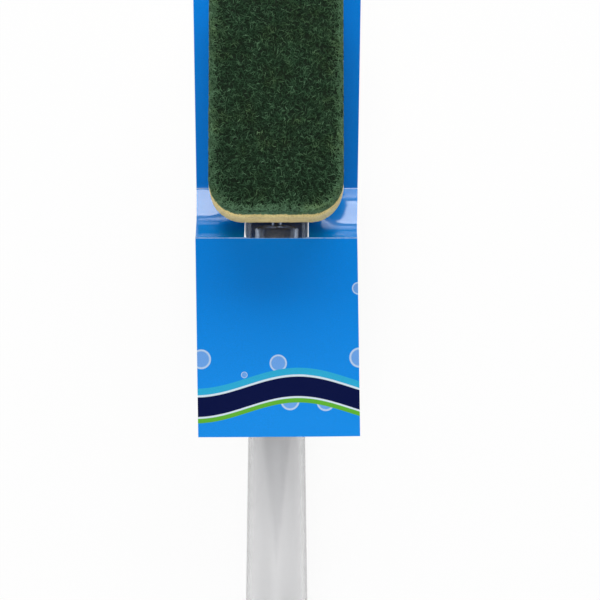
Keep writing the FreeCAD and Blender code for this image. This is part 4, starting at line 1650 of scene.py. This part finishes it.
@dataclass(frozen=True)
class RetailCard:
    """Folded display card: raised front panel, bowed slope with a window, back panel with a peg hole.

    The window is cut on three sides, and its flap stays flat under the neck.
    """

    folds: FoldLines
    thickness: float = 0.5 * MM
    window_half: float = 13.8 * MM
    flap_gap: float = 0.3 * MM
    slope_bow: float = 3.3 * MM
    hole_radius: float = 4 * MM
    hole_margin: float = 11 * MM
    hole_frame: float = 7 * MM
    flat_pitch: float = 2.6 * MM
    slope_pitch: float = 1.1 * MM
    crease_radius: float = 0.7 * MM
    crease_sharp: float = math.radians(20)
    ripple: float = 0.25 * MM
    ripple_lift: float = 0.8
    ripple_pitches: Span = (38 * MM, 14 * MM)
    fine_flat: float = 0.4
    fine_slope: float = 0.8
    droop: float = 1.4 * MM
    skew: float = math.radians(0.8)
    skew_end: float = 0.5
    left_dent: float = 1.6 * MM
    dent_place: float = 0.45
    dent_widths: Span = (0.07, 0.18)
    right_curl: float = 2.8 * MM
    curl_skew: float = 0.125
    buckle_reach: float = 1.3
    edge_tilt: float = 0.15
    board_color: Color = (0.36, 0.33, 0.29)
    edge_color: Color = (0.72, 0.74, 0.76)

    def build(self) -> None:
        """Make the sheet, cut it, fold it and give it its thickness."""
        bm = self._sheet()
        flap = self._cut_window(bm)
        self._cut_hole(bm)
        for vert in bm.verts:
            place = self._laid_flat if vert in flap else self._folded
            vert.co = place(vert.co.x, vert.co.y)
        self._soften_creases(bm)
        bmesh.ops.recalc_face_normals(bm, faces=bm.faces)
        if sum(face.normal.z for face in bm.faces) < 0:
            bmesh.ops.reverse_faces(bm, faces=bm.faces)
        bmesh.ops.solidify(bm, geom=bm.faces[:], thickness=-self.thickness)
        bmesh.ops.recalc_face_normals(bm, faces=bm.faces)
        for face in bm.faces:
            face.material_index = self._face_of(face).value
        materials = [
            PrintedFace(self.folds).build(),
            RawBoard("card_board", self.board_color).build(),
            RawBoard("card_edge", self.edge_color).build(),
        ]
        make_piece("folded_card", bm, materials,
                   Seat("card", "printed_card", ("card_front", "card_slope", "card_back")))

    @property
    def _slope_run(self) -> Span:
        """Horizontal run and drop of the slope."""
        return self.folds.back_crease - self.folds.front_crease, self.folds.front_level

    @property
    def _arc(self) -> Span:
        """Radius of the bowed slope and half the angle that it spans.

        Returns:
            The radius and the half angle.
        """
        run, drop = self._slope_run
        half_chord = math.hypot(run, drop) / 2
        radius = (half_chord ** 2 + self.slope_bow ** 2) / (2 * self.slope_bow)
        return radius, math.asin(half_chord / radius)

    @property
    def _lengths(self) -> tuple[float, float, float]:
        """Lengths of the front panel, the slope and the back panel along the sheet.

        Returns:
            The three lengths.
        """
        radius, half_angle = self._arc
        return (self.folds.front_crease - self.folds.front_end, 2 * radius * half_angle,
                self.folds.top - self.folds.back_crease)

    def _sheet(self) -> BMesh:
        """Flat sheet with its length along +Y, divided by the lines that it is cut and folded on.

        Returns:
            The sheet, level at z = 0.
        """
        front, slope, back = self._lengths
        total = front + slope + back
        bm = bmesh.new()
        bmesh.ops.create_grid(bm, x_segments=1, y_segments=1, size=1.0)
        bmesh.ops.scale(bm, verts=bm.verts, vec=(self.folds.front_half, total / 2, 1))
        bmesh.ops.translate(bm, verts=bm.verts, vec=(0, total / 2, 0))
        hole = total - self.hole_margin
        across = [-self.folds.front_half, -self.window_half, -self.hole_frame,
                  self.hole_frame, self.window_half, self.folds.front_half]
        along = [0.0, front, front + slope, hole - self.hole_frame, hole + self.hole_frame, total]
        for axis, lines in ((Vector((1, 0, 0)), across), (Vector((0, 1, 0)), along)):
            for start, end in zip(lines, lines[1:]):
                pitch = self.slope_pitch if axis.y and start == front else self.flat_pitch
                count = max(1, round((end - start) / pitch))
                for step in range(count):
                    place = start + (end - start) * step / count
                    if place > lines[0]:
                        bmesh.ops.bisect_plane(bm, geom=bm.verts[:] + bm.edges[:] + bm.faces[:],
                                               plane_co=axis * place, plane_no=axis, dist=MERGE)
        return bm

    def _cut_window(self, bm: BMesh) -> set[BMVert]:
        """Cut the slope on three sides where the handle passes through.

        Args:
            bm: Flat sheet.

        Returns:
            The points of the flap, apart from those on its crease.
        """
        front, slope, _ = self._lengths
        crease = front + slope - SLACK
        inside = [face for face in bm.faces if abs(face.calc_center_median().x) < self.window_half
                  and front < face.calc_center_median().y < crease]
        kept = set(inside)
        rim = [edge for face in inside for edge in face.edges if not kept.issuperset(edge.link_faces)]
        cut = [edge for edge in rim if min(vert.co.y for vert in edge.verts) < crease]
        bmesh.ops.split_edges(bm, edges=cut)
        return {vert for face in inside for vert in face.verts if vert.co.y < crease}

    def _cut_hole(self, bm: BMesh) -> None:
        """Punch the round peg hole near the top edge.

        Args:
            bm: Flat sheet.
        """
        centre = Vector((0, sum(self._lengths) - self.hole_margin, 0))

        def framed(point: Vector) -> bool:
            """Tell whether a point lies in the square frame of the hole, or on its edge."""
            return max(abs(part) for part in point - centre) < self.hole_frame + SLACK

        inside = [face for face in bm.faces if framed(face.calc_center_median())]
        bmesh.ops.delete(bm, geom=inside, context="FACES")
        square = [edge for edge in bm.edges
                  if edge.is_boundary and all(framed(vert.co) for vert in edge.verts)]
        for vert in grow_ring(bm, square)[0]:
            vert.co = centre + self.hole_radius * (vert.co - centre).normalized()

    def _folded(self, x: float, along: float) -> Vector:
        """Place a point of the flat sheet on the folded card's underside.

        Args:
            x: Place across the sheet.
            along: Place along the sheet from the front panel's free end.

        Returns:
            The point in the frame.
        """
        front, slope, _ = self._lengths
        folds = self.folds
        if along <= front:
            y, z = folds.front_end + along, folds.front_level
        elif along >= front + slope:
            y, z = folds.back_crease + along - front - slope, 0.0
        else:
            y, z = self._on_arc((along - front) / slope)
        wide = max(0.0, abs(x) - self.window_half) / (folds.front_half - self.window_half)
        x += math.copysign(wide * (self._half_width(y) - folds.front_half), x)
        fine = self.fine_slope if front < along < front + slope else self.fine_flat
        broad_pitch, fine_pitch = self.ripple_pitches
        waves = noise.noise(Vector((x, along, 0)) / broad_pitch)
        waves += fine * noise.noise(Vector((x, along, 1)) / fine_pitch)
        lift = self.ripple * (self.ripple_lift + waves) * held(z / folds.front_level)
        out = max(0.0, 1 - along / front)
        lift -= self.droop * out * (x / folds.front_half) ** 2
        lift -= self._buckle(x, (along - front) / slope) * ease(min(1.0, self.buckle_reach * wide))
        turn = math.sin(self.skew)
        return Vector((x + turn * max(0.0, front - along), y + self.skew_end * turn * out * x, z + lift))

    def _buckle(self, x: float, share: float) -> float:
        """Give how far the slope's outer part sinks: one dent on the left, a curl on the right.

        Args:
            x: Place across the card.
            share: Place down the slope, 0 to 1.

        Returns:
            The depth, 0 off the slope.
        """
        if not 0 < share < 1:
            return 0.0
        if x < 0:
            width = self.dent_widths[share > self.dent_place]
            return self.left_dent * math.exp(-((share - self.dent_place) / width) ** 2)
        turn = 2 * math.pi * share
        return self.right_curl * (math.sin(turn) + math.sin(2 * turn) * self.curl_skew)

    def _laid_flat(self, x: float, along: float) -> Vector:
        """Place a point of the window's flap in the plane of the back panel.

        Args:
            x: Place across the sheet.
            along: Place along the sheet from the front panel's free end.

        Returns:
            The point in the frame.
        """
        front, slope, _ = self._lengths
        share = (along - front) / slope
        y = part_way(self.folds.flap_end, self.folds.back_crease, share)
        return Vector((x * (1 - self.flap_gap / self.window_half), y, 0.0))

    def _on_arc(self, share: float) -> Span:
        """Give y and z on the bowed slope, from the front crease to the back crease.

        Args:
            share: Place down the slope, 0 to 1.

        Returns:
            The place and the height.
        """
        run, drop = self._slope_run
        radius, half_angle = self._arc
        chord_tilt = math.atan2(drop, run)
        rise = radius * math.cos(half_angle)
        middle = Vector((self.folds.front_crease + run / 2, drop / 2))
        centre = middle + Vector((math.sin(chord_tilt), math.cos(chord_tilt))) * rise
        turn = -math.pi / 2 - chord_tilt + (2 * share - 1) * half_angle
        return centre.x + radius * math.cos(turn), centre.y + radius * math.sin(turn)

    def _half_width(self, y: float) -> float:
        """Half width of the card at a station.

        Args:
            y: Place along the card.

        Returns:
            The half width there.
        """
        folds = self.folds
        if y <= folds.front_crease:
            return folds.front_half
        if y <= folds.back_crease:
            share = (y - folds.front_crease) / (folds.back_crease - folds.front_crease)
            return part_way(folds.front_half, folds.crease_half, share)
        share = (y - folds.back_crease) / (folds.top - folds.back_crease)
        return part_way(folds.crease_half, folds.header_half, share)

    def _soften_creases(self, bm: BMesh) -> None:
        """Roll both creases over a small radius."""
        sharp = [edge for edge in bm.edges if edge.calc_face_angle(0.0) > self.crease_sharp]
        round_edges(bm, sharp, self.crease_radius, 3)

    def _face_of(self, face: BMFace) -> CardFace:
        """Tell the printed face, the board side and the cut edge apart by their direction.

        Args:
            face: Face of the finished sheet.

        Returns:
            The kind of face.
        """
        if face.normal.z > self.edge_tilt:
            return CardFace.PRINT
        return CardFace.BOARD if face.normal.z < -self.edge_tilt else CardFace.EDGE


@dataclass(frozen=True)
class AreaLamp:
    """Soft lamp that faces a point."""

    name: str
    place: Vector
    target: Vector
    size: Span
    power: float
    in_gloss: bool = True

    def build(self) -> None:
        """Hang the lamp."""
        lamp = bpy.data.lights.new(self.name, "AREA")
        lamp.shape = "RECTANGLE"
        lamp.size, lamp.size_y = self.size
        lamp.energy = self.power
        thing = bpy.data.objects.new(self.name, lamp)
        aim = (self.target - self.place).to_track_quat("-Z", "Y")
        thing.matrix_world = Matrix.Translation(self.place) @ aim.to_matrix().to_4x4()
        thing.visible_camera = False
        thing.visible_glossy = self.in_gloss
        bpy.context.scene.collection.objects.link(thing)


@dataclass(frozen=True)
class Studio:
    """White floor, soft lamps, pale world and the camera over the wand."""

    floor_size: float = 6.0
    floor_drop: float = 0.2 * MM
    floor_color: Color = (0.90, 0.90, 0.90)
    floor_glow: float = 0.92
    floor_glow_through: float = 0.52
    ambient: float = 0.2
    surround: float = 0.6
    flag_size: float = 1.3
    flag_height: float = 1.25
    flag_color: Color = (0.02, 0.02, 0.02)
    matt: float = 0.9
    aim: Vector = field(default_factory=lambda: Vector((0, 0.03, 0.03)))
    camera_place: Vector = field(default_factory=lambda: Vector((10.1 * MM, -0.95 * MM, 1.0286)))
    lens: float = 140.4
    sensor: float = 36.0

    def build(self) -> None:
        """Set up everything that isn't the object."""
        self._floor()
        self._flag()
        self._world()
        self._lamps()
        self._camera()
        bpy.context.scene.view_settings.view_transform = "Standard"

    def _floor(self) -> None:
        """Lay a matt floor that the eye and gloss see nearly white, and clear plastic a little darker."""
        graph = self._dull("floor", self.floor_color)
        glow = graph.add("Emission", {"Color": (1.0, 1.0, 1.0), "Strength": 1.0})
        path = graph.add("LightPath")
        through = path.outputs["Is Transmission Ray"]
        gloss = graph.math("SUBTRACT", path.outputs["Is Glossy Ray"], through, clamp=True)
        seen = graph.math("MAXIMUM", path.outputs["Is Camera Ray"], gloss)
        share = graph.math("ADD", graph.math("MULTIPLY", seen, self.floor_glow),
                           graph.math("MULTIPLY", through, self.floor_glow_through))
        mixed = graph.add("MixShader", {0: share, 1: graph.shader.outputs[0], 2: glow.outputs[0]})
        graph.put(graph.output.inputs["Surface"], mixed.outputs[0])
        floor = self._board(self.floor_size, -self.floor_drop, graph.material)

    def _dull(self, name: str, color: Color) -> Graph:
        """Start a matt material of one colour.

        Args:
            name: Name of the material.
            color: Its colour.

        Returns:
            The node tree.
        """
        graph = Graph(name)
        graph.surface(Base_Color=color, Roughness=self.matt, Specular_IOR_Level=0.0)
        return graph

    def _board(self, size: float, height: float, material: Material) -> bpy.types.Object:
        """Lay a level square round the origin, named after its material.

        Args:
            size: Length of a side.
            height: Level of the square.
            material: Its finish.

        Returns:
            The new object.
        """
        bm = bmesh.new()
        bmesh.ops.create_grid(bm, x_segments=8, y_segments=8, size=size / 2)
        bmesh.ops.translate(bm, verts=bm.verts, vec=(0, 0, height))
        return new_object(material.name, bm, [material])

    def _world(self) -> None:
        """Light matt surfaces softly, and show gloss and clear plastic a pale surround and the eye white."""
        world = bpy.data.worlds.new("studio")
        world.use_nodes = True
        tree = world.node_tree
        tree.nodes.clear()
        path = tree.nodes.new("ShaderNodeLightPath")
        light = self._sky(tree, self.ambient)
        for ray, strength in (("Glossy", self.surround), ("Transmission", self.surround), ("Camera", 1.0)):
            mixer = tree.nodes.new("ShaderNodeMixShader")
            tree.links.new(path.outputs[f"Is {ray} Ray"], mixer.inputs[0])
            tree.links.new(light, mixer.inputs[1])
            tree.links.new(self._sky(tree, strength), mixer.inputs[2])
            light = mixer.outputs[0]
        output = tree.nodes.new("ShaderNodeOutputWorld")
        tree.links.new(light, output.inputs["Surface"])
        bpy.context.scene.world = world

    def _sky(self, tree: bpy.types.NodeTree, strength: float) -> Socket:
        """Add an even white sky of the given strength.

        Args:
            tree: Node tree of the world.
            strength: Brightness of the sky.

        Returns:
            The sky's output.
        """
        sky = tree.nodes.new("ShaderNodeBackground")
        sky.inputs["Color"].default_value = (1, 1, 1, 1)
        sky.inputs["Strength"].default_value = strength
        return sky.outputs[0]

    def _lamps(self) -> None:
        """Hang the low key lamp beyond the head, and two broad lamps in front and overhead."""
        broad = (1.2, 1.2)
        lamps = [
            AreaLamp("key", Vector((0.1, 1.25, 0.40)), self.aim, size=(1.6, 0.58), power=24.0),
            AreaLamp("front", Vector((-0.2, -1.0, 1.1)), self.aim, size=broad, power=12.5, in_gloss=False),
            AreaLamp("top", Vector((-0.15, 0.1, 1.7)), self.aim, size=broad, power=4.0, in_gloss=False),
        ]
        for lamp in lamps:
            lamp.build()

    def _flag(self) -> None:
        """Hang a dark board overhead that only reflections show, as the room behind a camera is dark."""
        flag = self._board(self.flag_size, self.flag_height, self._dull("flag", self.flag_color).material)
        for ray in ("camera", "diffuse", "transmission", "volume_scatter", "shadow"):
            setattr(flag, f"visible_{ray}", False)

    def _camera(self) -> None:
        """Put the camera straight above the card."""
        camera = bpy.data.cameras.new("camera")
        camera.lens = self.lens
        camera.sensor_width = self.sensor
        thing = bpy.data.objects.new("camera", camera)
        thing.location = self.camera_place
        bpy.context.scene.collection.objects.link(thing)
        bpy.context.scene.camera = thing


def dress(node: bpy.types.Object, material: Material) -> None:
    """Give a carried-over node its finish.

    Args:
        node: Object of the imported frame.
        material: Its finish.
    """
    for place in node.material_slots:
        place.material = material
    log.info("%s: dressed in %s", node.name, material.name)


def find_folds() -> FoldLines:
    """Read the card's fold stations from the frame.

    Returns:
        The card's stations, levels and half widths.
    """
    front_low, front_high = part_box("card_front")
    slope_low, slope_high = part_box("card_slope")
    back_low, back_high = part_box("card_back")
    back_crease = slope_high.y - (front_high.y - slope_low.y)
    return FoldLines(
        front_end=front_low.y, front_crease=slope_low.y, back_crease=back_crease, top=back_high.y,
        front_level=front_low.z, flap_end=back_low.y,
        front_half=front_high.x, crease_half=slope_high.x, header_half=back_high.x,
    )


def main() -> None:
    """Build the wand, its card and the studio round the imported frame."""
    logging.basicConfig(level=logging.INFO, format="%(message)s")
    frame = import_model()
    nodes = frame["nodes"]

    liner_low, liner_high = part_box("cap_liner")
    cap_low, cap_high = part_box("end_cap")
    axis_z = (liner_low.z + liner_high.z) / 2
    folds = find_folds()
    handle = Handle(axis_z, rim_y=liner_high.y)
    handle.build(ClearPlastic(card_end=folds.front_end).build())
    Refill(handle.head).build()
    cap = FillerCap(axis_z, rim_y=cap_high.y, end_y=cap_low.y, liner_y=liner_low.y)
    cap.build(MouldedPlastic("cap_plastic", (0.80, 0.81, 0.82)).build())
    RetailCard(folds).build()

    white = MouldedPlastic("white_plastic", (0.80, 0.81, 0.81), roughness=0.4).build()
    dress(nodes["base_plate"], white)
    dress(nodes["valve_ring"], white)
    dress(nodes["slit_valve"], SoftRubber().build())
    liner = FoamFinish("liner_foam", (0.78, 0.78, 0.76), (0.55, 0.55, 0.53), cell_pitch=0.3 * MM)
    dress(nodes["cap_liner"], liner.build())

    Studio().build()


if __name__ == "__main__":
    main()
